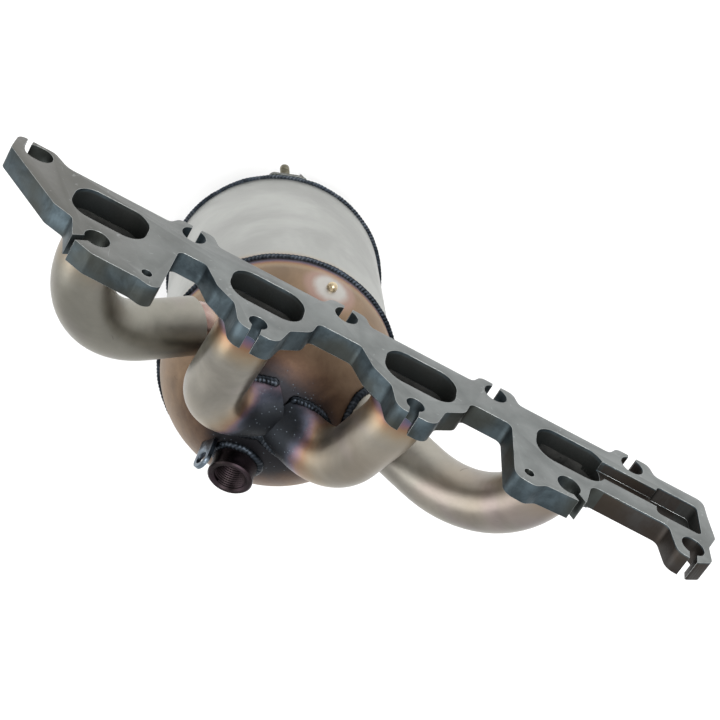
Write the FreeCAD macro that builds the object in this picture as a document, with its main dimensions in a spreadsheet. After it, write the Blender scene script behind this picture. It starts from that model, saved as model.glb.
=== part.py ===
import FreeCAD, Part
import math
import os
import Sketcher

# Four-into-one exhaust manifold with a close-coupled catalyst.
# Frame: X along the head flange (port 1 at -X), Y towards the engine with the gasket face at Y = 0, Z up.
# The origin lies on the gasket face, midway between ports 2 and 3, on the line of the port centres.

V = FreeCAD.Vector
X_AXIS = V(1, 0, 0)
Y_AXIS = V(0, 1, 0)
Z_AXIS = V(0, 0, 1)

SIZES = [
    ("flange_thickness", 12.2, "head flange plate"),
    ("port_pitch", 86, "bore pitch of the engine"),
    ("port_width", 40, "port opening along the flange"),
    ("port_height", 27.4, "port opening across the flange"),
    ("port_corner", 11, "corner radius of a port"),
    ("port_chamfer", 0.8, "broken edge round each port"),
    ("flange_low_edge", 21, "straight lower edge below the port line"),
    ("low_ear_reach", 28.3, "lower ears below the port line"),
    ("low_ear_half", 9.5, "half width of a lower ear"),
    ("web_top", 1.0, "floor of the notches above the port line"),
    ("lobe_top", 37.3, "top of the upper stud lobes"),
    ("block_top", 44, "top of the two dowel blocks"),
    ("low_stud_line", 20, "lower studs below the port line"),
    ("low_stud_radius", 6.5, "lower stud holes"),
    ("low_slot_width", 4.6, "relief slot of a lower stud hole"),
    ("high_stud_line", 28, "upper studs above the port line"),
    ("high_stud_radius", 5, "upper stud holes of ports 2 and 3"),
    ("wide_stud_radius", 6.6, "upper stud holes at the ends"),
    ("high_slot_width", 5.2, "relief slot of an upper stud hole"),
    ("low_stud_shift", -2, "lower studs beside the middle between two ports"),
    ("end_stud_left", -44.5, "leftmost lower stud from port 1"),
    ("end_stud_right", 35.5, "rightmost lower stud from port 4"),
    ("end_slot_length", 2, "spare length of the oblong leftmost hole"),
    ("far_stud_reach", 71, "far upper stud from port 4"),
    ("far_stud_line", 25, "far upper stud above the port line"),
    ("dowel_radius", 2.75, "dowel holes"),
    ("dowel_left", 28, "left dowel from port 1"),
    ("dowel_right", -22, "right dowel from port 4"),
    ("dowel_line", 35.2, "dowels above the port line"),
    ("channel_depth", 6, "gas channel in the gasket face"),
    ("channel_height", 15, "gas channel across the flange"),
    ("pocket_depth", 9, "end pocket in the gasket face"),
    ("pocket_left", 50, "end pocket's near wall from port 4"),
    ("pocket_right", 75, "end pocket's far wall from port 4"),
    ("pocket_height", 24, "end pocket across the flange"),
    ("tube_outer", 32, "runner tube outside diameter"),
    ("tube_wall", 1.5, "runner tube wall"),
    ("oval_length", 11, "length over which a runner turns from oval to round"),
    ("flange_bead", 3.4, "weld bead round a runner at the flange"),
    ("saddle_bead", 3.0, "weld bead round a runner at the dome"),
    ("spigot_outer", 26.4, "slip neck of runner 1, outside diameter"),
    ("spigot_lap", 9, "length of the slip neck inside runner 1"),
    ("joint_lip", 2.5, "rolled lip of runner 1 round the slip neck"),
    ("cat_radius", 65, "catalyst shell outside radius"),
    ("cat_wall", 1.5, "shell, dome and cone wall"),
    ("cat_length", 142, "catalyst shell"),
    ("cat_x", -9.6, "seam centre along the flange"),
    ("cat_y", -92.7, "seam centre away from the engine"),
    ("cat_z", -100.6, "seam centre below the port line"),
    ("cat_lean_side", 5.8, "lean of the catalyst's axis along the flange, degrees"),
    ("cat_lean_back", 10.6, "lean of the catalyst's axis away from the engine, degrees"),
    ("dome_collar", 6, "straight collar of the inlet dome"),
    ("dome_height", 62, "height of the dome above its collar"),
    ("dome_knuckle", 48, "knuckle radius of the dome"),
    ("seam_bead", 2.2, "half width of the round seam welds"),
    ("inlet_seam_rise", 1.0, "inlet seam weld above the shell"),
    ("outlet_seam_rise", 0.5, "outlet seam weld above the shell"),
    ("mat_thickness", 5.5, "support mat round a brick"),
    ("brick_length", 56, "ceramic brick"),
    ("brick_gap", 10, "gap between the two bricks"),
    ("seal_length", 6, "wire seal ring"),
    ("cone_collar", 6, "straight collar of the outlet cone"),
    ("cone_height", 42, "outlet cone"),
    ("neck_length", 12, "straight neck of the outlet cone"),
    ("pipe_outer", 54, "outlet pipe outside diameter"),
    ("pipe_wall", 1.5, "outlet pipe wall"),
    ("pipe_length", 24, "outlet pipe"),
    ("pipe_lap", 9, "length of the outlet pipe inside the neck"),
    ("slip_clearance", 0.1, "radial gap of a slip joint"),
    ("out_flange_thickness", 10, "outlet flange"),
    ("out_stud_circle", 83, "pitch circle of the outlet studs"),
    ("out_ear_radius", 10.5, "corner radius of the outlet flange"),
    ("out_side_radius", 30, "side corner radius of the outlet flange"),
    ("out_turn", 27, "direction of the first outlet stud, degrees"),
    ("out_stud_radius", 5, "outlet studs"),
    ("out_stud_length", 27, "outlet studs below their flange"),
    ("out_shank_radius", 5.5, "pressed-in part of an outlet stud"),
    ("out_head_radius", 7, "head of an outlet stud"),
    ("out_head_height", 3, "head of an outlet stud"),
    ("sensor_outer", 12.5, "sensor boss outside radius"),
    ("sensor_bore", 9, "sensor boss thread, core radius"),
    ("sensor_height", 21, "sensor boss"),
    ("plug_radius", 2.9, "domed plug of the dome"),
    ("plug_angle", 90, "direction of the plug round the dome, degrees"),
    ("plug_height", 22, "plug above the seam"),
    ("tab_thickness", 2.5, "eye tab beside the sensor boss"),
    ("tab_radius", 6, "round end of the eye tab"),
    ("tab_hole", 3.6, "hole of the eye tab"),
    ("tab_reach", 16.3, "eye tab from the boss's axis"),
    ("tab_height", 18.5, "eye tab's hole above the foot of the boss"),
    ("bracket_thickness", 3, "heat-shield bracket plate"),
    ("bracket_depth", 28, "bracket plate below the shell"),
    ("bracket_inset", 5.5, "outer edge of the bracket, inwards from the shell's radius"),
    ("bracket_turn", 19.5, "bracket's place round the cone, degrees from +Y"),
    ("shield_stud_radius", 3, "heat-shield stud"),
    ("shield_shank_radius", 3.4, "part of the stud in its bracket"),
    ("shield_stud_inset", 11, "heat-shield stud, inwards from the shell's radius"),
    ("shield_stud_length", 29.5, "heat-shield stud below its bracket"),
    ("fin_length", 8, "stop fin below the bracket"),
]

doc = FreeCAD.newDocument("exhaust_manifold")
sheet = doc.addObject("Spreadsheet::Sheet", "Sizes")
for row, (alias, value, note) in enumerate(SIZES, start=1):
    sheet.set("A%d" % row, alias)
    sheet.set("B%d" % row, str(value))
    sheet.set("C%d" % row, note)
    sheet.setAlias("B%d" % row, alias)
doc.recompute()


def size(alias):
    return float(sheet.get(alias))


subparts = []


def keep(thing, label):
    thing.Label = label
    subparts.append(thing)
    return thing


def shape_part(label, shape, placement=None):
    """A sub-part whose solid is made by Part functions, in its own local frame."""
    thing = doc.addObject("Part::Feature", label)
    thing.Shape = shape
    if placement is not None:
        thing.Placement = placement.multiply(shape.Placement)
    return keep(thing, label)


def body_plane(body, role):
    for feature in body.Origin.OriginFeatures:
        if feature.Role == role:
            return feature
    raise ValueError(role)


def new_sketch(body, name, role, lift=0.0):
    sketch = body.newObject("Sketcher::SketchObject", name)
    sketch.AttachmentSupport = [(body_plane(body, role), "")]
    sketch.MapMode = "FlatFace"
    sketch.AttachmentOffset = FreeCAD.Placement(V(0, 0, lift), FreeCAD.Rotation())
    return sketch


def sketch_circle(sketch, x, y, radius, expression):
    """A circle whose radius follows an expression of the sheet."""
    index = sketch.addGeometry(Part.Circle(V(x, y, 0), Z_AXIS, radius))
    constraint = sketch.addConstraint(Sketcher.Constraint("Radius", index, radius))
    sketch.setExpression("Constraints[%d]" % constraint, expression)


def rounded_edges(corners, closed=True):
    """Lines and tangent arcs through corners given as (point, radius)."""
    count = len(corners)
    starts, ends, arcs = [], [], []
    for index in range(count):
        point, radius = corners[index]
        if radius == 0 or (not closed and index in (0, count - 1)):
            starts.append(point)
            ends.append(point)
            arcs.append(None)
            continue
        before = corners[index - 1][0] - point
        after = corners[(index + 1) % count][0] - point
        half = before.getAngle(after) / 2
        share_before = 0.49 if closed or index > 1 else 0.98
        share_after = 0.49 if closed or index < count - 2 else 0.98
        reach = min(radius / math.tan(half), share_before * before.Length, share_after * after.Length)
        before.normalize()
        after.normalize()
        start = point + before * reach
        end = point + after * reach
        middle_way = before + after
        middle_way.normalize()
        inner = reach * math.tan(half)
        middle = point + middle_way * (inner / math.sin(half) - inner)
        starts.append(start)
        ends.append(end)
        arcs.append(Part.Arc(start, middle, end))
    edges = []
    for index in range(count):
        if arcs[index] is not None:
            edges.append(arcs[index])
        if closed or index < count - 1:
            nxt = (index + 1) % count
            if (starts[nxt] - ends[index]).Length > 1e-4:
                edges.append(Part.LineSegment(ends[index], starts[nxt]))
    return edges


def bent_path(corners):
    return Part.Wire([edge.toShape() for edge in rounded_edges(corners, closed=False)])


def round_sweep(path, radius):
    """A solid round bar along a path; its volume is compared with section times length."""
    first = path.OrderedEdges[0]
    start = first.valueAt(first.FirstParameter)
    along = first.tangentAt(first.FirstParameter)
    profile = Part.Wire([Part.Circle(start, along, radius).toShape()])
    solid = path.makePipeShell([profile], True, False)
    expected = math.pi * radius ** 2 * path.Length
    if abs(solid.Volume - expected) > 0.02 * expected:
        raise ValueError("sweep volume %.0f, expected %.0f" % (solid.Volume, expected))
    return solid


def eight_arcs(half_x, half_z, corner, y):
    """A closed wire of eight edges: an oval with straight sides in the plane Y = y."""
    across = half_x - corner
    up = half_z - corner
    turn = math.radians(45)
    if across < 1e-6 and up < 1e-6:
        lead = math.radians(11)
    else:
        lead = 0.0
    edges = []
    centres = [(across, up, 45), (-across, up, 135), (-across, -up, 225), (across, -up, 315)]
    for centre_x, centre_z, middle in centres:
        middle = math.radians(middle)
        span = turn - lead
        points = []
        for angle in (middle - span, middle, middle + span):
            points.append(V(centre_x + corner * math.cos(angle), y, centre_z + corner * math.sin(angle)))
        edges.append(points)
    wire = []
    for index in range(4):
        here = edges[index]
        after = edges[(index + 1) % 4]
        wire.append(Part.Arc(*here).toShape())
        if lead:
            angle = math.radians(90 * (index + 1))
            bulge = V(corner * math.cos(angle), y, corner * math.sin(angle))
            wire.append(Part.Arc(here[2], bulge, after[0]).toShape())
        else:
            wire.append(Part.LineSegment(here[2], after[0]).toShape())
    return Part.Wire(wire)


# ---------------------------------------------------------------- places worked out from the sheet

thickness = size("flange_thickness")
pitch = size("port_pitch")
ports = [pitch * (index - 1.5) for index in range(4)]
low_studs = [ports[index] + pitch / 2 + size("low_stud_shift") for index in range(3)]
low_studs.append(ports[3] + size("end_stud_right"))
left_stud = ports[0] + size("end_stud_left")
far_stud = ports[3] + size("far_stud_reach")

lean_back = FreeCAD.Rotation(X_AXIS, -size("cat_lean_back"))
lean = lean_back.multiply(FreeCAD.Rotation(Y_AXIS, size("cat_lean_side")))
seam_centre = V(size("cat_x"), size("cat_y"), size("cat_z"))


def cat_frame(lift=0.0):
    """The catalyst's own frame: its origin on the inlet seam, Z along the shell towards the dome."""
    return FreeCAD.Placement(seam_centre + lean.multVec(V(0, 0, lift)), lean)


# ---------------------------------------------------------------- head flange


def flange_outline():
    low = -size("flange_low_edge")
    ear = -size("low_ear_reach")
    half = size("low_ear_half")
    web = size("web_top")
    lobe = size("lobe_top")
    block = size("block_top")
    first, last = ports[0], ports[3]
    left_end = left_stud - 13.3
    corners = [(left_end, ear, 4), (left_stud + 6.5, ear, 6), (left_stud + 15.5, low, 9)]
    for stud in low_studs:
        corners += [(stud - half - 4, low, 4), (stud - half, ear, 5), (stud + half, ear, 5),
                    (stud + half + 4, low, 4)]
    corners += [(last + 78, low, 5), (last + 80.5, -8, 8), (last + 84.5, 8, 5), (last + 80.5, 19, 5),
                (last + 82, 31, 4), (last + 74, 37, 3), (last + 62, 36, 6), (last + 57, 18, 4),
                (last + 12.5, 18, 5), (last + 10, 37, 4), (last - 12, 38.8, 5),
                (last - 18, block, 5), (last - 29.5, block - 1, 6), (last - 34, web, 4)]
    for port in (ports[2], ports[1]):
        corners += [(port + 28.5, web, 4), (port + 26.5, 12, 8), (port + 16, 21, 6), (port + 12, lobe, 7),
                    (port - 9, lobe, 7), (port - 14, 21.5, 6), (port - 25, 14, 8), (port - 33.5, web, 4)]
    corners += [(first + 37.5, web, 4), (first + 36.5, block - 2, 5), (first + 32, block + 1, 5),
                (first + 25, block - 1, 5), (first + 1, block - 1, 5), (first - 10.5, 38, 3),
                (first - 15, 20.8, 4), (first - 26, 17, 5), (left_end, -13.5, 4)]
    return rounded_edges([(V(x, z, 0), radius) for x, z, radius in corners])


def flange_cut(body, name, fill, depth=None, lift=0.0):
    """A pocket from the gasket face; fill draws the sketch, depth None goes right through."""
    before = body.Tip.Shape.Volume
    sketch = new_sketch(body, name + "_sketch", "XZ_Plane", lift)
    fill(sketch)
    doc.recompute()
    pocket = body.newObject("PartDesign::Pocket", name)
    pocket.Profile = sketch
    pocket.Reversed = True
    if depth is None:
        pocket.Type = "ThroughAll"
    else:
        pocket.Length = size(depth)
        pocket.setExpression("Length", "Sizes." + depth)
    doc.recompute()
    if pocket.Shape.Volume > before - 1:
        raise ValueError(name + " cuts nothing")
    return pocket


def slot_box(sketch, x, z, width, length, angle):
    """A rectangle that leaves (x, z) in a direction given in degrees from +X."""
    along = V(math.cos(math.radians(angle)), math.sin(math.radians(angle)), 0)
    side = V(-along.y, along.x, 0) * (width / 2)
    start = V(x, z, 0)
    points = [start - side, start - side + along * length, start + side + along * length, start + side]
    for index in range(4):
        sketch.addGeometry(Part.LineSegment(points[index], points[(index + 1) % 4]))


def make_head_flange():
    body = doc.addObject("PartDesign::Body", "head_flange")
    outline = new_sketch(body, "flange_outline", "XZ_Plane")
    outline.addGeometry(flange_outline())
    pad = body.newObject("PartDesign::Pad", "flange_plate")
    pad.Profile = outline
    pad.Length = thickness
    pad.setExpression("Length", "Sizes.flange_thickness")
    doc.recompute()

    def port(sketch):
        half_x = size("port_width") / 2
        half_z = size("port_height") / 2
        corner = size("port_corner")
        corners = [(half_x, half_z), (-half_x, half_z), (-half_x, -half_z), (half_x, -half_z)]
        sketch.addGeometry(rounded_edges([(V(ports[0] + x, z, 0), corner) for x, z in corners]))

    first_port = flange_cut(body, "port", port)
    row = body.newObject("PartDesign::LinearPattern", "ports")
    row.Originals = [first_port]
    row.Direction = (body_plane(body, "X_Axis"), [""])
    row.Length = 3 * pitch
    row.Occurrences = 4
    row.setExpression("Length", "3 * Sizes.port_pitch")
    body.Tip = row
    doc.recompute()
    if row.Shape.Volume > first_port.Shape.Volume - 1:
        raise ValueError("port pattern cuts nothing")

    def low_holes(sketch):
        for stud in low_studs:
            sketch_circle(sketch, stud, -size("low_stud_line"), size("low_stud_radius"),
                          "Sizes.low_stud_radius")

    def high_holes(sketch):
        for port_x in ports[1:3]:
            sketch_circle(sketch, port_x, size("high_stud_line"), size("high_stud_radius"),
                          "Sizes.high_stud_radius")
        wide = [(ports[0], size("high_stud_line")), (ports[3], size("high_stud_line")),
                (far_stud, size("far_stud_line"))]
        for hole_x, hole_z in wide:
            sketch_circle(sketch, hole_x, hole_z, size("wide_stud_radius"), "Sizes.wide_stud_radius")

    def oblong(sketch):
        spare = size("end_slot_length") / 2
        radius = size("low_stud_radius")
        line = -size("low_stud_line")
        corners = [(spare + radius, radius), (-spare - radius, radius), (-spare - radius, -radius),
                   (spare + radius, -radius)]
        ends = [(V(left_stud + x, line + z, 0), 0.98 * radius) for x, z in corners]
        sketch.addGeometry(rounded_edges(ends))

    def dowels(sketch):
        for dowel_x in (ports[0] + size("dowel_left"), ports[3] + size("dowel_right")):
            sketch_circle(sketch, dowel_x, size("dowel_line"), size("dowel_radius"), "Sizes.dowel_radius")

    def slot_cuts():
        low_slot = size("low_slot_width")
        high_slot = size("high_slot_width")
        reach = size("low_ear_reach")
        cuts = [(stud, -size("low_stud_line"), low_slot, reach, -90) for stud in low_studs]
        cuts.append((left_stud - 7, -size("low_stud_line"), 0.6 * low_slot, reach, -90))
        cuts += [(port_x, size("high_stud_line"), high_slot, 2 * size("high_stud_radius") + 8, 90)
                 for port_x in ports[1:3]]
        cuts.append((ports[0], size("high_stud_line"), 0.8 * high_slot, 34, 138))
        cuts.append((ports[3], size("high_stud_line"), 0.8 * high_slot, 30, 47))
        cuts.append((far_stud, size("far_stud_line"), 0.85 * high_slot, 30, 90))
        return cuts

    def channel(sketch):
        start = ports[3] + size("port_width") / 2 - 6
        end = ports[3] + size("pocket_left") + 1
        half = size("channel_height") / 2
        corners = [(start, half), (end, half), (end, -half), (start, -half)]
        sketch.addGeometry(rounded_edges([(V(x, z - 1.5, 0), 0.5) for x, z in corners]))

    def pocket(sketch):
        near = ports[3] + size("pocket_left")
        far = ports[3] + size("pocket_right")
        half = size("pocket_height") / 2
        corners = [(near, half), (far + 1.5, half), (far - 1, -half), (near, -half)]
        sketch.addGeometry(rounded_edges([(V(x, z - 0.5, 0), 3) for x, z in corners]))

    flange_cut(body, "low_stud_holes", low_holes)
    flange_cut(body, "high_stud_holes", high_holes)
    flange_cut(body, "oblong_hole", oblong)
    flange_cut(body, "dowel_holes", dowels)
    for index, (x, z, width, length, angle) in enumerate(slot_cuts()):
        flange_cut(body, "relief_slot_%d" % index,
                   lambda sketch: slot_box(sketch, x, z, width, length, angle))
    flange_cut(body, "gas_channel", channel, "channel_depth")
    flange_cut(body, "end_pocket", pocket, "pocket_depth")
    return keep(body, "head_flange")


# ---------------------------------------------------------------- dome, shell, cone: profiles of revolution


def dome_profile(grow, floor=0.0):
    """Half section of the dome's solid, swollen outwards by grow: collar, knuckle arc and crown arc."""
    radius = size("cat_radius")
    knuckle = size("dome_knuckle")
    height = size("dome_height")
    collar = size("dome_collar")
    side = radius - knuckle
    crown = (side ** 2 + height ** 2 - knuckle ** 2) / (2 * (height - knuckle))
    turn = math.atan2(crown - height, side)
    knuckle_centre = V(side, 0, collar)
    crown_centre = V(0, 0, collar + height - crown)

    def on_arc(centre, arc_radius, angle):
        return centre + V(math.cos(angle), 0, math.sin(angle)) * (arc_radius + grow)

    low = V(0, 0, floor)
    rim = V(radius + grow, 0, floor)
    shoulder = on_arc(knuckle_centre, knuckle, 0)
    join = on_arc(knuckle_centre, knuckle, turn)
    top = on_arc(crown_centre, crown, math.pi / 2)
    middle_turn = (turn + math.pi / 2) / 2
    edges = [Part.LineSegment(low, rim), Part.LineSegment(rim, shoulder),
             Part.Arc(shoulder, on_arc(knuckle_centre, knuckle, turn / 2), join),
             Part.Arc(join, on_arc(crown_centre, crown, middle_turn), top), Part.LineSegment(top, low)]
    return Part.Face(Part.Wire([edge.toShape() for edge in edges]))


def dome_solid(grow, floor=0.0):
    return dome_profile(grow, floor).revolve(V(0, 0, 0), Z_AXIS, 360)


def cone_solid(grow):
    """The outlet cone's solid below the shell, with its neck, swollen outwards by grow."""
    radius = size("cat_radius") + grow
    neck = size("pipe_outer") / 2 + size("slip_clearance") + size("cat_wall") + grow
    collar = size("cone_collar")
    height = size("cone_height")
    foot = collar + height + size("neck_length")
    points = [(V(0, 0, 0), 0), (V(radius, 0, 0), 0), (V(radius, 0, -collar), 9),
              (V(neck, 0, -collar - height), 9), (V(neck, 0, -foot), 0), (V(0, 0, -foot), 0)]
    wire = bent_path(points + [points[0]])
    return Part.Face(wire).revolve(V(0, 0, 0), Z_AXIS, 360)


def tube_body(label, outer, inner, length, lift):
    """A pipe or ring along the catalyst's axis; sizes are expressions of the sheet."""
    body = doc.addObject("PartDesign::Body", label)
    sketch = new_sketch(body, label + "_section", "XY_Plane")
    for expression in (outer, inner):
        if expression:
            sketch_circle(sketch, 0, 0, 10 if expression == outer else 5, expression)
    pad = body.newObject("PartDesign::Pad", label + "_pad")
    pad.Profile = sketch
    pad.Length = 10
    pad.setExpression("Length", length)
    body.Placement = cat_frame(lift)
    return keep(body, label)


def seam_weld(label, radius, lift, rise):
    """A low round bead laid round the catalyst's axis."""
    body = doc.addObject("PartDesign::Body", label)
    sketch = new_sketch(body, label + "_section", "XZ_Plane")
    bead = size("seam_bead")
    top = V(radius, bead, 0)
    foot = V(radius, -bead, 0)
    sketch.addGeometry([Part.Arc(foot, V(radius + rise, 0, 0), top), Part.LineSegment(top, foot)])
    ring = body.newObject("PartDesign::Revolution", label + "_ring")
    ring.Profile = sketch
    ring.ReferenceAxis = (sketch, ["V_Axis"])
    ring.Angle = 360
    body.Placement = cat_frame(lift)
    return keep(body, label)


# ---------------------------------------------------------------- runners


def lead_in(port):
    """Where a runner's round part starts, straight behind its port."""
    return V(port, -thickness - size("oval_length"), 0)


def runner_paths():
    """One bent centreline for each runner, from the end of its oval part into the dome."""
    first, second, third, fourth = ports
    lead = V(0, -8, 0)
    seam_x = size("cat_x")
    radius = size("cat_radius")
    return [
        bent_path([(lead_in(first), 0), (V(first, -81, 0), 49.5),
                   (V(seam_x - radius + 9.2, -68.5, -56.4), 0)]),
        bent_path([(lead_in(second), 0), (lead_in(second) + lead, 30), (V(second, -92, -22), 28),
                   (V(seam_x + 1.6, -80, -42), 0)]),
        bent_path([(lead_in(third), 0), (lead_in(third) + lead, 30), (V(third - 10, -88, -20), 34),
                   (V(seam_x + 10.6, -84, -42), 0)]),
        bent_path([(lead_in(fourth), 0), (V(fourth, -71, -8), 66),
                   (V(seam_x + radius - 23.4, -73.5, -68), 0)]),
    ]


def runner_bar(port, path, shrink):
    """A runner as a solid bar: oval at the flange, then round; shrink is taken off all round."""
    radius = size("tube_outer") / 2 - shrink
    wall = size("tube_wall") - shrink
    half_x = size("port_width") / 2 + wall
    half_z = size("port_height") / 2 + wall
    start = eight_arcs(half_x, half_z, size("port_corner") + wall, -thickness)
    end = eight_arcs(radius, radius, radius, -thickness - size("oval_length"))
    neck = Part.makeLoft([start, end], True)
    neck.translate(V(port, 0, 0))
    return neck.fuse(round_sweep(path, radius)).removeSplitter()


def flange_weld(port, bar):
    """A sloping bead between a runner and the back of the head flange."""
    bead = size("flange_bead")
    wall = size("tube_wall")
    half_x = size("port_width") / 2 + wall
    half_z = size("port_height") / 2 + wall
    corner = size("port_corner") + wall
    wide = eight_arcs(half_x + bead, half_z + bead, corner + bead, -thickness)
    narrow = eight_arcs(half_x, half_z, corner, -thickness - bead)
    solid = Part.makeLoft([wide, narrow], True)
    solid.translate(V(port, 0, 0))
    return largest(solid.cut(bar))


def largest(shape):
    """The biggest solid of a cut, without the slivers."""
    solids = sorted(shape.Solids, key=lambda solid: solid.Volume)
    return solids[-1]


def placed(shape, placement):
    copy = shape.copy()
    copy.Placement = placement.multiply(copy.Placement)
    return copy


# Foot and direction of the two sensor bosses, from the inlet seam and from the outlet seam.
UPPER_BOSS_FOOT = V(-5, 30.3 - size("cat_radius"), size("dome_height") - 13.8)
UPPER_BOSS_WAY = V(-0.08, -0.47, 0.88)
LOWER_BOSS_FOOT = V(0, 18 - size("cat_radius"), -26)
LOWER_BOSS_WAY = V(0, -0.74, -0.67)


def sensor_boss(place, wall_solid):
    """A round boss with a threaded bore, its foot cut to the wall it stands on."""
    height = size("sensor_height")
    sink = 12
    outer = Part.makeCylinder(size("sensor_outer"), height + sink, V(0, 0, -sink))
    outer = outer.makeChamfer(0.8, [edge for edge in outer.Edges if abs(edge.CenterOfMass.z - height) < 0.1])
    bore = Part.makeCylinder(size("sensor_bore"), height + 3 * sink, V(0, 0, -2 * sink))
    outer = placed(outer, place)
    bore = placed(bore, place)
    return largest(outer.cut(bore).cut(wall_solid)), outer, bore


def boss_weld(place, wall_swollen, wall_solid, outer, bead):
    ring = Part.makeCylinder(size("sensor_outer") + bead, 40, V(0, 0, -20))
    band = placed(ring, place).common(wall_swollen)
    return largest(band.cut(wall_solid).cut(outer))


def direction_frame(base, along):
    return FreeCAD.Placement(base, FreeCAD.Rotation(Z_AXIS, along))


def make_all():
    make_head_flange()
    frame = cat_frame()
    wall = size("cat_wall")
    length = size("cat_length")
    bead = size("saddle_bead")
    dome_outer = placed(dome_solid(0), frame)
    dome_swollen = placed(dome_solid(bead), frame)
    dome_wall = dome_outer.cut(placed(dome_solid(-wall, -1), frame))

    # Runners, each cut to the dome where it meets it. Runner 1 ends short and slips over a neck.
    paths = runner_paths()
    bars = [runner_bar(port, path, 0) for port, path in zip(ports, paths)]
    bores = [runner_bar(port, path, size("tube_wall")) for port, path in zip(ports, paths)]
    joint_edges = paths[0].OrderedEdges
    last_run = joint_edges[-1]
    joint_end = last_run.valueAt(last_run.LastParameter)
    joint_way = last_run.tangentAt(last_run.LastParameter)
    neck_start = joint_end - joint_way * size("spigot_lap")
    neck_end = V(size("cat_x") - 20.4, -86, -84)
    neck_path = bent_path([(neck_start, 0), (joint_end + joint_way * 7, 20), (neck_end, 0)])
    neck_radius = size("spigot_outer") / 2
    neck_bar = round_sweep(neck_path, neck_radius)
    neck_bore = round_sweep(neck_path, neck_radius - size("tube_wall"))
    tubes = []
    for index in range(4):
        outer = bars[index]
        if index > 0:
            outer = outer.cut(dome_outer)
        tubes.append(largest(outer.cut(bores[index])))
    lip = Part.makeCylinder(size("tube_outer") / 2, size("joint_lip"))
    lip = placed(lip, direction_frame(joint_end - joint_way * size("joint_lip"), joint_way)).cut(neck_bar)
    tubes[0] = largest(tubes[0].fuse(lip).removeSplitter())
    tubes[1] = largest(tubes[1].cut(bars[2]))
    for index, tube in enumerate(tubes):
        shape_part("runner_%d" % (index + 1), tube)
    shape_part("runner_1_neck", largest(neck_bar.cut(neck_bore).cut(dome_outer)))
    for index in range(4):
        shape_part("flange_weld_%d" % (index + 1), flange_weld(ports[index], bars[index]))

    # Saddle beads between the tubes and the dome.
    taken = list(bars)
    tube_radius = size("tube_outer") / 2
    entries = [(neck_path, neck_radius)] + [(path, tube_radius) for path in paths[1:]]
    taken[0] = neck_bar
    beads = []
    joint_gap = 0.6
    joint_zone = Part.makeCylinder(size("tube_outer") / 2 + joint_gap, 3 * size("joint_lip") + joint_gap)
    zone_start = joint_end - joint_way * 3 * size("joint_lip")
    joint_zone = placed(joint_zone, direction_frame(zone_start, joint_way))
    for path, radius in entries:
        band = round_sweep(path, radius + bead).common(dome_swollen).cut(dome_outer)
        for bar in taken + [joint_zone]:
            band = band.cut(bar)
        for other in beads:
            band = band.cut(other)
        beads.append(largest(band))

    # The dome, open to every tube, to the sensor and to the shell.
    boss_base = frame.multVec(UPPER_BOSS_FOOT)
    boss_way = lean.multVec(UPPER_BOSS_WAY)
    boss_place = direction_frame(boss_base, boss_way)
    boss, boss_outer, boss_bore = sensor_boss(boss_place, dome_outer)
    for bar in bars:
        boss = largest(boss.cut(bar))
    dome = dome_wall
    for bore in bores[1:] + [neck_bore, boss_bore]:
        dome = dome.cut(bore)
    shape_part("inlet_dome", largest(dome))
    boss_ring = boss_weld(boss_place, dome_swollen, dome_outer, boss_outer, bead)
    for other in bars + beads:
        boss_ring = largest(boss_ring.cut(other))
    for index, band in enumerate(beads):
        shape_part("saddle_weld_%d" % (index + 1), band)
    shape_part("upstream_boss", boss)
    shape_part("upstream_boss_weld", boss_ring)

    # Small pieces on the dome: the plug and the eye tab.
    plug_turn = math.radians(size("plug_angle"))
    plug_lift = size("plug_height")
    rise = math.asin((plug_lift - size("dome_collar")) / size("dome_knuckle"))
    across = size("cat_radius") - size("dome_knuckle") * (1 - math.cos(rise))
    plug_base = V(across * math.cos(plug_turn), across * math.sin(plug_turn), plug_lift)
    plug_out = V(math.cos(rise) * math.cos(plug_turn), math.cos(rise) * math.sin(plug_turn), math.sin(rise))
    plug_place = direction_frame(frame.multVec(plug_base), lean.multVec(plug_out))
    plug = Part.makeCylinder(size("plug_radius"), 4, V(0, 0, -3))
    plug = plug.fuse(Part.makeSphere(size("plug_radius"), V(0, 0, 1)))
    plug = largest(placed(plug, plug_place).cut(dome_outer))
    shape_part("dome_plug", plug)
    along = lean.multVec(V(UPPER_BOSS_WAY).normalize())
    face = lean.multVec(V(-0.949, 0.303, 0.075))
    face = (face - along * face.dot(along)).normalize()
    aside = lean.multVec(V(-0.997, 0.072, -0.052))
    centre = boss_base + aside * size("tab_reach") + along * size("tab_height")
    tab_place = FreeCAD.Placement(centre, FreeCAD.Rotation(along.cross(face), along, face, "ZXY"))
    tab_radius = size("tab_radius")
    tab_leg = size("tab_height") + 12
    tab_thick = size("tab_thickness")
    tab = Part.makeBox(2 * tab_radius, tab_leg, tab_thick, V(-tab_radius, -tab_leg, 0))
    tab = tab.fuse(Part.makeCylinder(tab_radius, tab_thick))
    tab = tab.cut(Part.makeCylinder(size("tab_hole"), 20, V(0, 0, -10)))
    tab = placed(tab, tab_place)
    for other in [boss_outer, dome_outer, boss_ring] + bars + beads:
        tab = largest(tab.cut(other))
    shape_part("eye_tab", tab)

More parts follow.
